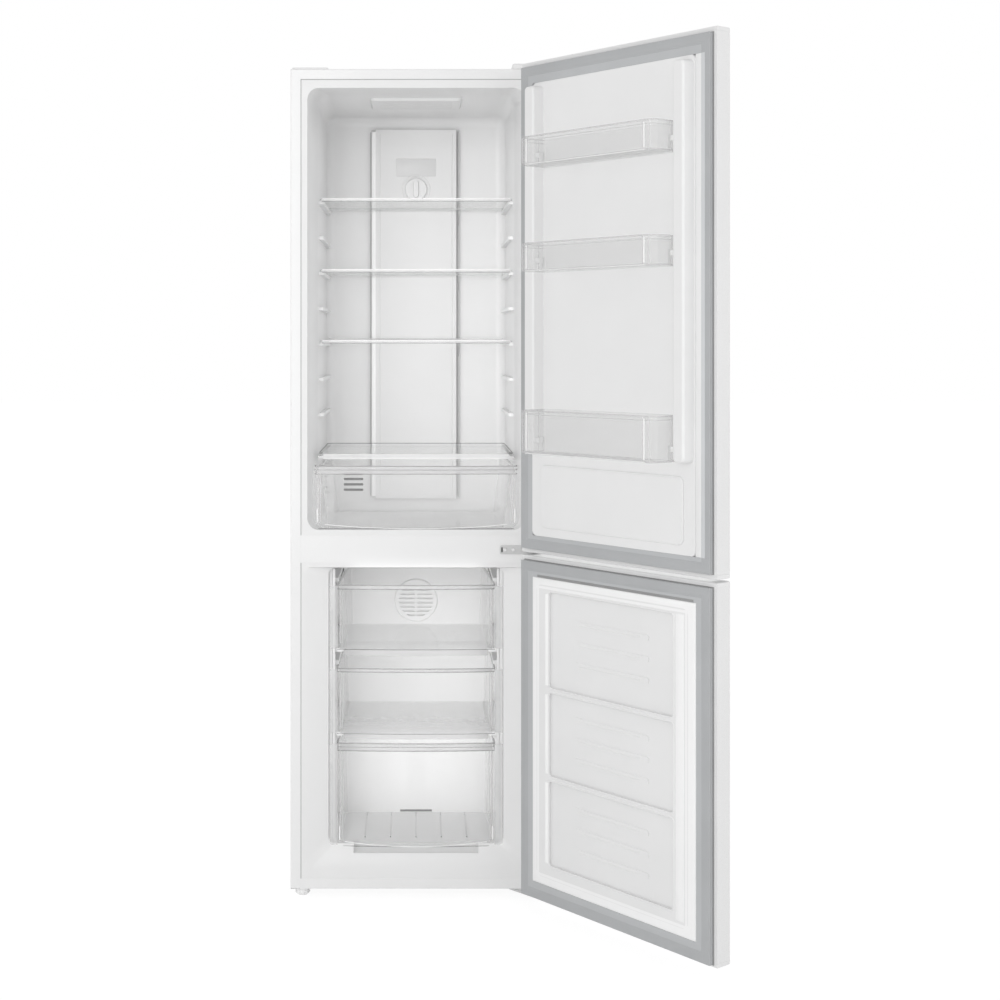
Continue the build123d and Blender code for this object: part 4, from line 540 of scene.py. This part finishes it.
# Sizes on the shut doors, in millimetres: the inner face stands back from the cabinet's front
GASKET_HALF = 263.5
GASKET_ENDS = {"fridge_door": (769.0, 1791.0), "freezer_door": (33.0, 743.5)}
DOOR_FACE = -12.0
GASKET_FACE = -0.2
# Up to this many degrees between its faces the seal is shaded as one surface
SEAL_SMOOTH = 28.0

# Half of the seal's section: a fin, a bellows waist and the magnet's pocket, as (inward, depth)
SEAL_OUTLINE = [(1.0, DOOR_FACE), (1.0, -9.0), (0.2, -8.2), (2.4, -6.4), (2.4, -5.4), (0.3, -4.0),
                (0.3, GASKET_FACE), (2.6, GASKET_FACE), (3.0, -0.5), (3.4, GASKET_FACE),
                (16.4, GASKET_FACE), (17.0, -0.7), (17.6, -0.4), (21.3, -1.2), (21.3, -2.2),
                (18.4, -3.0), (18.4, -6.0), (20.9, -7.4), (20.9, -8.4), (19.0, -9.4),
                (19.0, DOOR_FACE)]
GROOVE_OUTLINE = [(-1.2, DOOR_FACE), (-1.2, DOOR_FACE + 0.6), (-0.6, DOOR_FACE + 1.2),
                  (0.9, DOOR_FACE + 1.2), (0.9, DOOR_FACE)]

# The soft flap inside the seal starts here and reaches this far inward at the sides, foot and head
FLAP_ROOT = 17.2
FLAP_REACH = {"fridge_door": (35.3, 29.8, 37.8), "freezer_door": (35.0, 35.0, 32.0)}
# The freezer door's liner has a rounded shoulder from there to this far over its raised frame. The
# depths are those of its buried foot, of its start beside the flap, of its rise and of its end
SHOULDER_REACH = (64.0, 65.0, 58.0)
SHOULDER_FOOT = -4.0
SHOULDER_START = -2.4
SHOULDER_RISE = 4.46
SHOULDER_END = 1.9
SHOULDER_SMOOTH = 40.0
# On the upper door's free side, inward from the seal's edge: the span of the flap's painted
# highlight, and where the liner's margin starts
LIT_FLAP_SPAN = (11.6, 20.5)
MARGIN_FROM = 19.4


def door_ring(door, outline):
    """A ring with this closed outline, along a door's edge."""
    return frame_loop(GASKET_HALF, *GASKET_ENDS[door], outline + outline[:1])


def seal(door):
    """A door's seal with its fin and bellows, a painted shadow in the groove round it, and the flap
    inside it.
    """
    reach = FLAP_REACH[door]
    flap = [(FLAP_ROOT, -1.3), (reach, -2.2), (reach, -2.9), (FLAP_ROOT, -2.1)]
    piece = on_door(f"{door}_seal", door_ring(door, rounded(SEAL_OUTLINE, 0.7, 2)), door, GASKET,
                    "gasket_rubber", SEAL_SMOOTH)
    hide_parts(f"{door}_gasket")
    on_door(f"{door}_seal_groove_shadow", door_ring(door, GROOVE_OUTLINE), door, SHADOW_AND_CLIP_GREY, "gasket_rubber",
            SEAL_SMOOTH)
    on_door(f"{door}_seal_flap", door_ring(door, flap), door, GASKET_FLAP, "gasket_rubber",
            SEAL_SMOOTH)


def upper_free_side():
    """A painted highlight on the upper door's flap on its free side, and the liner's margin there."""
    door = "fridge_door"
    sides, foot, head = FLAP_REACH[door]
    low, high = GASKET_ENDS[door][0] + foot, GASKET_ENDS[door][1] - head
    outer, inner = (inward - GASKET_HALF for inward in LIT_FLAP_SPAN)
    on_door("fridge_door_flap_free_side", bars(((outer, -0.9, low), (inner, -0.06, high), 0.2)),
            door, LIT_GASKET_FLAP, "gasket_rubber")
    on_door("fridge_door_free_margin",
            bars(((MARGIN_FROM - GASKET_HALF, -5.0, low), (sides - GASKET_HALF, -0.05, high), 1.6)),
            door, LINER, "liner_plastic")


def lower_flap_shade():
    """The shade under the head of the freezer door's flap."""
    head = GASKET_ENDS["freezer_door"][1] - FLAP_REACH["freezer_door"][2]
    on_door("freezer_door_flap_shade",
            bars(((-222.0, -2.4, head + 0.2), (214.0, -1.6, head + 5.4), 0.3)), "freezer_door",
            SHADOW_AND_CLIP_GREY, "gasket_rubber")


def shoulder():
    """The rounded shoulder of the freezer door's liner, between the flap and the sunk panels, with a
    painted highlight.
    """
    flap = FLAP_REACH["freezer_door"]

    def between(share):
        return tuple(near + 0.2 + (far - near) * share for near, far in zip(flap, SHOULDER_REACH))

    outline = [(between(0.0), SHOULDER_FOOT), (between(0.0), SHOULDER_START)]
    for step in range(1, 9):
        turn = step * pi / 16
        depth = SHOULDER_START + SHOULDER_RISE * sin(turn)
        outline.append((between(0.72 * (1 - cos(turn))), depth))
    outline += [(between(1.0), SHOULDER_END), (between(0.9), SHOULDER_FOOT)]
    on_door("freezer_door_shoulder", door_ring("freezer_door", outline), "freezer_door", LIT_LINER,
            "liner_plastic", SHOULDER_SMOOTH)


# The freezer door's sunk panels: foot and head of each, their half width and their ribs' spacing
PANELS = ((113.0, 292.0), (300.0, 476.0), (484.0, 686.0))
PANEL_HALF = 175.0
RIB_STEP = 42.0
# The ends of the ribs' crowns and the depth of their axes, and the ends of the shades under them
RIB_ENDS = (-80.0, 90.0)
RIB_DEPTH = -6.8
SHADE_ENDS = (-96.0, 104.0)
# The liner's margin on the freezer door's free side, with a painted highlight: two corners and a
# rounding
FREE_MARGIN = ((-201.5, 0.6, 98.0), (-180.5, 2.7, 686.5), 1.2)
# The fridge door's one panel, under its bins: its half width, foot and head
UPPER_PANEL = (197.5, 819.5, 947.5)


def rolled_edge(shape, half, low, high, depth, radius, corner):
    """Adds a round edge along a rectangle on a door's liner."""
    path = [(-half, depth, low), (half, depth, low), (half, depth, high), (-half, depth, high)]
    bead(shape, path, radius, corner, closed=True)


def panel_edges():
    """Rolled edges, rib crowns, painted shade under the ribs and painted highlights on the sides of
    the doors' sunk panels.
    """
    edges, shades, gleams = bmesh.new(), bmesh.new(), bmesh.new()
    for low, high in PANELS:
        middle = (low + high) / 2
        rolled_edge(edges, PANEL_HALF, low, high, 1.3, 2.0, 8.0)
        for rise in (-RIB_STEP, 0.0, RIB_STEP):
            bead(edges, [(x, RIB_DEPTH, middle + rise) for x in RIB_ENDS], 5.0)
        for rise in (-RIB_STEP, RIB_STEP):
            level = middle + rise - 5.2
            bar(shades, (SHADE_ENDS[0], -6.2, level - 1.5), (SHADE_ENDS[1], -5.7, level + 1.5), 0.2)
        bar(gleams, (176.5, 1.6, low + 5.0), (186.0, 2.9, high - 5.0), 0.9)
    for name, shape, material in (("panel_edges", edges, LINER), ("rib_shades", shades, MID_GREY),
                                  ("panel_gleams", gleams, PAINTED_HIGHLIGHT),
                                  ("free_margin", bars(FREE_MARGIN), LIT_LINER)):
        on_door(f"freezer_door_{name}", shape, "freezer_door", material, "liner_plastic")
    shape = bmesh.new()
    rolled_edge(shape, *UPPER_PANEL, 1.2, 2.2, 12.0)
    on_door("fridge_door_panel_edge", shape, "fridge_door", LINER, "liner_plastic")


# The clear door bins: half width, wall, how far out their back and front stand, corner, and the
# foot and head of each
BIN_HALF = 188.0
BIN_WALL = 1.4
BIN_BACK = 0.3
BIN_FRONT = 75.0
BIN_CORNER = 18.0
BINS = {"low": (977.0, 1067.0), "middle": (1352.0, 1411.0), "high": (1571.0, 1630.0)}


def post(shape, x, y, low, high, radius):
    """Adds an upright bead between two levels."""
    bead(shape, [(x, y, low), (x, y, high)], radius)


def bin_trim(word):
    """Thick rims, corner posts and ribs of one clear door bin, and painted highlights on its front.
    """
    low, high = BINS[word]
    side, front, back = BIN_HALF - BIN_WALL, BIN_FRONT - BIN_WALL, BIN_BACK + 4.0
    shape = bmesh.new()
    for z, radius in ((high - 1.6, 1.5), (high - 9.0, 0.8), (low + 2.2, 1.5)):
        rim = [(-side, back, z), (-side, front, z), (side, front, z), (side, back, z)]
        bead(shape, rim, radius, BIN_CORNER)
    for flip in (-1, 1):
        for inset, radius in ((9.0, 1.3), (25.0, 1.0)):
            post(shape, flip * (side - inset), front + 0.2, low + 3.0, high - 3.0, radius)
        post(shape, flip * side, 20.0, low + 3.0, high - 3.0, 1.2)
    rib = bars(((-130.0, 14.0, low + 2.0), (-127.6, front - 8.0, low + 3.6), 0.3))
    row(shape, rib, 10, (28.5, 0.0, 0.0))
    let_light_through(on_door(f"door_bin_{word}_rims", shape, f"bin_{word}", CLEAR_EDGE,
                              "clear_plastic"))
    shape = bmesh.new()
    straight = side - BIN_CORNER
    bead(shape, [(-straight, front + 0.4, low + 1.4), (straight, front + 0.4, low + 1.4)], 0.9)
    for flip in (-1, 1):
        post(shape, flip * (side - 21.0), front + 0.4, low + 6.0, high - 6.0, 1.0)
    let_light_through(on_door(f"door_bin_{word}_gleams", shape, f"bin_{word}", PAINTED_HIGHLIGHT,
                              "clear_plastic"))


seal("fridge_door")
upper_free_side()
seal("freezer_door")
lower_flap_shade()
shoulder()
panel_edges()
for word in BINS:
    bin_trim(word)


# ---------------------------------------------------------------- detail in the compartments

# The joint between the steel flange and the liners: half width, head, foot and depth
FLANGE_HALF = 250.5
FLANGE_TOP = 1778.0
FLANGE_FOOT = 30.0
LINER_FRONT = 0.8
# How far the trim of a clear tub lies in from its front and back, and how far out its wings reach
TUB_WALL = 1.6
TUB_BACK = 2.0
WING_REACH = 189.4
# Small bars, each a row of its two corners and its rounding
RETURN_SLOTS = ((-180.0, 444.0, 840.0), (-124.0, 446.0, 908.0), 0.4)
DRAIN_SLOT = ((-37.0, 261.2, 113.2), (37.0, 261.9, 118.0), 0.2)
BRACKET_SLOT = ((184.6, -0.9, 750.6), (188.4, -0.1, 761.4), 0.3)
VENT_PLATE = ((-165.0, 362.0, 304.0), (165.0, 363.4, 342.0), 0.5)
VENT_LIP = ((-165.0, 360.6, 304.0), (165.0, 363.4, 305.4), 0.5)


def front_seams():
    """A painted shadow line in the joint between the steel flange and the liners, and the liner's
    turned edge beside it.
    """
    groove = [(0.0, LINER_FRONT), (0.0, LINER_FRONT - 0.05), (1.3, LINER_FRONT - 0.05),
              (1.3, LINER_FRONT)]
    turned = [(1.6 + 2.4 * step / 8, LINER_FRONT - 0.5 * sin(pi * step / 8)) for step in range(9)]
    for name, profile, material, slot in (("flange_joint_shadow", groove, SHADOW_AND_CLIP_GREY, "shell_paint"),
                                          ("liner_turned_edge", turned, LINER, "liner_plastic")):
        made(name, frame_loop(FLANGE_HALF, FLANGE_FOOT, FLANGE_TOP, profile), "cabinet", material,
             slot)


def front_strip(shape, half, front_at, low, high, thick=1.6):
    """Adds an upright strip that follows a tub's bowed front, between two levels."""
    section = ((0.0, low), (0.0, high), (thick, high), (thick, low))
    across = [half * step / 8 for step in range(-8, 9)]
    rings = [[shape.verts.new(mm(x, front_at(x) + deep, z)) for deep, z in section]
             for x in across]
    for ring in (rings[0], rings[-1]):
        shape.faces.new(ring)
    join_rings(shape, rings)


def tub_trim(name, body, rims, bow, inset=1.6, apron=0.0, wings=0.0, ribs=None, gleams=False):
    """Rims, posts, a front band of painted shade, side wings, floor ribs and painted corner
    highlights of a clear tub.

    Each rim is its level down from the tub's top and its radius. The bow is how far the ends of the
    front stand back. The apron hangs this far under the front, and the wings reach out to this x.
    The ribs are their count, pitch, level, front and back.
    """
    low, high = corners(name)
    half = high[0] - inset
    front, back = low[1] + TUB_WALL, high[1] - TUB_BACK
    across = [half * step / 6 for step in range(-6, 7)]

    def bowed(x):
        return front + bow * (x / half) ** 2

    shape = bmesh.new()
    for drop, radius in rims:
        z = high[2] - drop
        along = [(x, bowed(x), z) for x in across]
        bead(shape, [(-half, back, z), *along, (half, back, z)], radius, 6.0)
    bead(shape, [(x, bowed(x), low[2] + 1.0) for x in across], 0.8)
    for flip in (-1, 1):
        bead(shape, [(flip * (half - 8.0), back, low[2] + 4.0),
                     (flip * half, back, high[2] - 10.0)], 0.7)
    made_clear(f"{name}_rims", shape, body, CLEAR_RIM)

    shape = bmesh.new()
    for flip in (-1, 1):
        for in_by, radius in ((7.0, 1.5), (12.0, 0.9)):
            x = flip * (half - in_by)
            bead(shape, [(x, bowed(x) + 1.5, low[2] + 12.0), (x, bowed(x) + 0.4, high[2] - 11.0)],
                 radius)
    if wings:
        bar_pair(shape, (half - 1.0, bowed(half) - 1.0, low[2] + 3.0),
                 (wings, bowed(half) + 0.6, high[2] - 3.0))
    if ribs:
        count, pitch, level, rib_front, rib_back = ribs
        start = -pitch * (count - 1) / 2
        rib = bars(((start - 1.4, rib_front, level), (start + 1.4, rib_back, level + 3.4), 0.5))
        row(shape, rib, count, (pitch, 0.0, 0.0))
    made_clear(f"{name}_posts", shape, body, CLEAR_EDGE)

    shape = bmesh.new()
    front_strip(shape, half - 6.0, bowed, high[2] - rims[-1][0], high[2] - rims[0][0])
    if apron:
        front_strip(shape, half - 14.0, bowed, low[2] - apron, low[2])
    made_clear(f"{name}_front_band", shape, body, CLEAR_SHADE_BAND)

    if gleams:
        shape = bmesh.new()
        for flip in (-1, 1):
            x = flip * (half - 5.0)
            bead(shape, [(x, bowed(x) + 1.0, low[2] + 14.0), (x, bowed(x) + 0.6, low[2] + 44.0)],
                 1.2)
        bead(shape, [(x * 0.9, bowed(x) - 0.4, low[2] + 1.0 + 9.0 * (x / half) ** 2)
                     for x in across], 0.8)
        made_clear(f"{name}_gleams", shape, body, PAINTED_HIGHLIGHT)


# The air duct's front face
DUCT_FACE = 414.0


def duct_detail():
    """A painted highlight down the air duct's left edge, a painted shadow line by each edge, and its
    window's pane.
    """
    low, high = corners("duct_cover")
    strip = [(-107.4, 7.0), (-107.4, 1.3), (-106.6, 0.9), (-98.4, -0.1), (-97.6, 0.3), (-97.6, 7.0)]
    shape = bmesh.new()
    ends = [[shape.verts.new(mm(x, DUCT_FACE + deep, z)) for x, deep in strip]
            for z in (low[2] + 6.0, high[2] - 6.0)]
    for end in ends:
        shape.faces.new(end)
    join_rings(shape, ends)
    made("duct_edge_highlight", shape, "cabinet", PAINTED_HIGHLIGHT, "duct_plastic", 20.0)
    edge_shadows = bars(((-110.4, DUCT_FACE + 4.0, low[2] + 6.0),
                  (-108.9, DUCT_FACE + 7.6, high[2] - 6.0), 0.3),
                 ((101.0, DUCT_FACE - 0.1, low[2] + 4.0),
                  (102.5, DUCT_FACE + 7.0, high[2] - 4.0), 0.3))
    made("duct_edge_shadow", edge_shadows, "cabinet", SOFT_SHADE, "duct_plastic")
    pane = bars(((-48.2, DUCT_FACE + 0.6, 1608.6), (48.2, DUCT_FACE + 1.8, 1651.4), 0.5))
    made("duct_window_pane", pane, "cabinet", MID_GREY, "lens_plastic")


def dark_backs():
    """Painted shade behind the return slots and the drain slot."""
    made("slot_shades", bars(RETURN_SLOTS, DRAIN_SLOT), "cabinet", HOLLOW_SHADE, "liner_plastic")


def shelf_edges():
    """A painted highlight along the upper front edge of each glass shelf, and a painted shadow line
    under its strip.
    """
    for word in ("low", "middle", "high"):
        low, high = corners(f"shelf_glass_{word}")
        left, right, front = low[0] + 5.0, high[0] - 5.0, low[1] - 1.2
        for name, z, material, slot in (("highlight_line", high[2] + 0.6, PAINTED_HIGHLIGHT, "shelf_glass"),
                                        ("shadow_line", low[2] - 1.2, SHADOW_AND_CLIP_GREY, "trim_plastic")):
            shape = bmesh.new()
            bead(shape, [(left, front, z), (right, front, z)], 0.7)
            made_clear(f"shelf_{word}_{name}", shape, f"shelf_{word}", material, slot)


def crisper_cover_detail():
    """The edge of the crisper's glass cover, and the clips at its front corners."""
    (left, front, _), (right, back, top) = corners("crisper_glass")
    shape = bmesh.new()
    rim = [(left + 6.0, front + 8.0), (left + 1.0, front + 60.0), (left + 1.0, back - 1.0),
           (right - 1.0, back - 1.0), (right - 1.0, front + 60.0), (right - 6.0, front + 8.0)]
    bead(shape, [(x, y, top + 0.3) for x, y in rim], 0.8, 8.0)
    made_clear("crisper_cover_edge", shape, "crisper_cover", CLEAR_RIM, "trim_plastic")
    shape = bmesh.new()
    bar_pair(shape, (right - 9.0, front + 14.0, top), (right - 1.5, front + 34.0, top + 2.4), 0.8)
    made("crisper_cover_clips", shape, "crisper_cover", SHADOW_AND_CLIP_GREY, "trim_plastic")


# On the freezer's right side, mirrored on its left: each upright rail's sides and front, and a skid
RAILS = ((176.8, 183.0, 31.0), (183.4, 190.7, 32.2))
RAIL_BACK, RAIL_FOOT, RAIL_HEAD = 36.0, 116.0, 711.0
SKID_LOW, SKID_HIGH = (120.3, 72.0, 113.0), (149.7, 246.6, 114.25)


def freezer_rails():
    """An upright rail down each side of the freezer, which the runners' front ends stand behind."""
    shape = bmesh.new()
    for near, far, front in RAILS:
        bar_pair(shape, (near, front, RAIL_FOOT), (far, RAIL_BACK, RAIL_HEAD), 1.2)
    made("freezer_side_rails", shape, "cabinet", MOULDED, "liner_plastic")


def skid_tops():
    """The skids' tops, a touch proud so that they show through the floor of the drawer on them."""
    shape = bmesh.new()
    bar_pair(shape, SKID_LOW, SKID_HIGH, 0.0)
    made("freezer_skid_tops", shape, "cabinet", LINER, "liner_plastic")


def hinge_marks():
    """Painted shade in the middle bracket's slot."""
    made("hinge_slot_shade", bars(BRACKET_SLOT), "cabinet", HOLLOW_SHADE, "hinge_paint")


# The pale disc behind the fan's grille: its radius in metres, and its middle in millimetres
BACKING_RADIUS = 0.0392
BACKING_MIDDLE = (0.0, 359.0, 591.0)


def cover_backs():
    """Behind the evaporator cover: pale plates at its fan and its low vents, painted light over the
    shade in their openings.
    """
    shape = bmesh.new()
    bmesh.ops.create_circle(shape, cap_ends=True, segments=48, radius=BACKING_RADIUS,
                            matrix=Matrix.Translation(mm(*BACKING_MIDDLE))
                            @ Matrix.Rotation(pi / 2, 4, "X"))
    disc = bmesh.ops.extrude_face_region(shape, geom=shape.faces[:])
    bmesh.ops.translate(shape, vec=mm(0.0, 0.8, 0.0),
                        verts=[part for part in disc["geom"]
                               if isinstance(part, bmesh.types.BMVert)])
    made("fan_grille_backing", shape, "cabinet", DUCT, "duct_plastic")
    made("vent_backing", bars(VENT_PLATE, VENT_LIP), "cabinet", DUCT, "duct_plastic")


front_seams()
shelf_edges()
crisper_cover_detail()
cover_backs()
freezer_rails()
skid_tops()
hinge_marks()
tub_trim("crisper_drawer", "crisper", ((1.2, 1.0), (9.0, 0.8), (18.0, 0.8)), 5.0, inset=4.4,
         gleams=True)
tub_trim("freezer_drawer_upper", "drawer_upper", ((1.2, 1.0), (9.2, 1.0)), 8.0, apron=12.0,
         wings=WING_REACH)
tub_trim("freezer_drawer_middle", "drawer_middle", ((1.2, 1.0), (8.0, 1.0)), 8.0, apron=10.0,
         wings=WING_REACH)
tub_trim("freezer_drawer_lower", "drawer_lower", ((1.2, 1.0), (9.0, 0.7), (17.0, 1.0)), 8.0,
         wings=WING_REACH, ribs=(5, 56.0, 116.4, 50.0, 236.0), gleams=True)
duct_detail()
dark_backs()


# ---------------------------------------------------------------- stage, light and camera

# The floor: its reach each way, the tone that takes the shadows, and the white that covers this share
# of it where it is seen
FLOOR_REACH = 30.0
FLOOR_TONE = 0.9
FLOOR_WHITE = 1.075
FLOOR_SHARE = 0.86
# The sky's strength where it lights the scene. Seen straight it is plain white
SKY_LIGHT = 0.68


def seen_straight(tree):
    """1 where it is seen, also in gloss and through glass, and 0 where it only gives light."""
    path = node(tree, "ShaderNodeLightPath")
    either = node(tree, "ShaderNodeMath", {0: path.outputs["Is Camera Ray"],
                                           1: path.outputs["Is Glossy Ray"]}, operation="MAXIMUM")
    return node(tree, "ShaderNodeMath", {0: either.outputs[0],
                                         1: path.outputs["Is Transmission Ray"]},
                operation="MAXIMUM").outputs[0]


def backdrop():
    """A pale floor that shows white to the camera and keeps a soft shadow."""
    mesh = bpy.data.meshes.new("floor")
    reach = FLOOR_REACH
    mesh.from_pydata([(-reach, -reach, 0), (reach, -reach, 0), (reach, reach, 0),
                      (-reach, reach, 0)], [], [(0, 1, 2, 3)])
    floor = bpy.data.objects.new("floor", mesh)
    bpy.context.scene.collection.objects.link(floor)
    material, tree, output = new_material("pale_floor")
    share = node(tree, "ShaderNodeMath", {0: seen_straight(tree), 1: FLOOR_SHARE},
                 operation="MULTIPLY")
    matt = node(tree, "ShaderNodeBsdfDiffuse", {"Color": (*grey(FLOOR_TONE), 1.0)})
    white = node(tree, "ShaderNodeEmission", {"Color": (1.0, 1.0, 1.0, 1.0),
                                              "Strength": FLOOR_WHITE})
    mixed = node(tree, "ShaderNodeMixShader", {0: share.outputs[0], 1: matt.outputs[0],
                                               2: white.outputs[0]})
    tree.links.new(mixed.outputs[0], output.inputs["Surface"])
    floor.data.materials.append(material)


def sky():
    """White to the eye, in gloss and through glass, and softer as a light."""
    world = bpy.data.worlds.new("studio")
    bpy.context.scene.world = world
    world.use_nodes = True
    tree = world.node_tree
    tree.nodes.clear()
    output = tree.nodes.new("ShaderNodeOutputWorld")
    strength = node(tree, "ShaderNodeMapRange", {"Value": seen_straight(tree), "To Min": SKY_LIGHT,
                                                 "To Max": 1.0})
    light = node(tree, "ShaderNodeBackground", {"Color": (1.0, 1.0, 1.0, 1.0),
                                                "Strength": strength.outputs["Result"]})
    tree.links.new(light.outputs[0], output.inputs["Surface"])


def softbox(name, place, target, width, height, power, hidden=False, spread=180.0):
    """A soft rectangular lamp that looks at its target. A hidden one is seen by no eye or mirror."""
    lamp = bpy.data.lights.new(name, "AREA")
    lamp.shape = "RECTANGLE"
    lamp.size = width
    lamp.size_y = height
    lamp.energy = power
    lamp.spread = radians(spread)
    box = bpy.data.objects.new(name, lamp)
    box.location = place
    box.rotation_euler = (Vector(target) - Vector(place)).to_track_quat("-Z", "Y").to_euler()
    bpy.context.scene.collection.objects.link(box)
    if hidden:
        box.visible_camera = False
        box.visible_glossy = False
        box.visible_transmission = False
    return box


def camera():
    """The photograph's viewpoint: level, with the lens shifted off the middle of the picture."""
    lens = bpy.data.cameras.new("camera")
    lens.sensor_width = SENSOR
    lens.lens = FOCAL_PIXELS * SENSOR / PICTURE_PIXELS
    lens.shift_x = 0.5 - AXIS_PIXEL[0] / PICTURE_PIXELS
    lens.shift_y = AXIS_PIXEL[1] / PICTURE_PIXELS - 0.5
    view = bpy.data.objects.new("camera", lens)
    view.location = CAMERA_PLACE
    view.rotation_euler = (pi / 2, 0.0, 0.0)
    bpy.context.scene.collection.objects.link(view)
    bpy.context.scene.camera = view


# The studio's two large lamps: place, target, width, height and power
STUDIO_LAMPS = {"key_softbox": ((-1.5, -4.2, 1.5), (0.0, 0.0, 0.9), 2.4, 2.6, 55.0),
                "fill_softbox": ((3.0, -2.3, 1.6), (0.2, 0.0, 0.9), 2.0, 2.6, 20.0)}
# Each compartment's lamp: power, width, share of the liner's height, depth, rise from its middle
# and spread. The last is the power of the lamps towards the compartment's sides
COMPARTMENT_LAMPS = {
    "fridge_liner": {"power": 0.47, "width": 0.42, "tall": 0.83, "depth": -0.01, "rise": -0.03,
                     "spread": 125.0, "side_power": 0.08},
    "freezer_liner": {"power": 0.225, "width": 0.28, "tall": 0.76, "depth": -0.03, "rise": 0.05,
                      "spread": 105.0, "side_power": 0.06}}
SIDE_LAMP_DEPTH = 0.16
SIDE_LAMP_WIDTH = 0.22
SIDE_LAMP_SPREAD = 150.0
# The lamp between the doors: its place on the shut doors in millimetres, its sides and its power
GAP_MIDDLE = (0.0, -33.0, 756.0)
GAP_SIDES = (0.5, 0.036)
GAP_POWER = 0.026


def light_compartment(liner, power, width, tall, depth, rise, spread, side_power):
    """Light from a compartment's mouth to its back, and from its middle plane to each side."""
    low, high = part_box(liner)
    level = (low[2] + high[2]) / 2 + rise
    height = (high[2] - low[2]) * tall
    softbox(f"{liner}_lamp", (0.0, depth, level), (0.0, high[1], level), width, height, power, True,
            spread)
    for flip in (-1, 1):
        softbox(f"{liner}_side_lamp", (flip * 0.02, SIDE_LAMP_DEPTH, level),
                (flip * 1.0, SIDE_LAMP_DEPTH, level), SIDE_LAMP_WIDTH, height, side_power, True,
                SIDE_LAMP_SPREAD)


def light_door_gap():
    """Light down from the gap between the doors, where each one's end faces the other."""
    gap = SWUNG @ mm(*GAP_MIDDLE)
    lamp = softbox("door_gap_lamp", gap, gap - mm(0.0, 0.0, 9.0), *GAP_SIDES, GAP_POWER, True)
    lamp.rotation_euler = (0.0, 0.0, DOOR_OPEN)


backdrop()
sky()
for name, lamp in STUDIO_LAMPS.items():
    softbox(name, *lamp)
for liner, lamp in COMPARTMENT_LAMPS.items():
    light_compartment(liner, **lamp)
light_door_gap()
camera()
bpy.context.scene.view_settings.view_transform = "Standard"
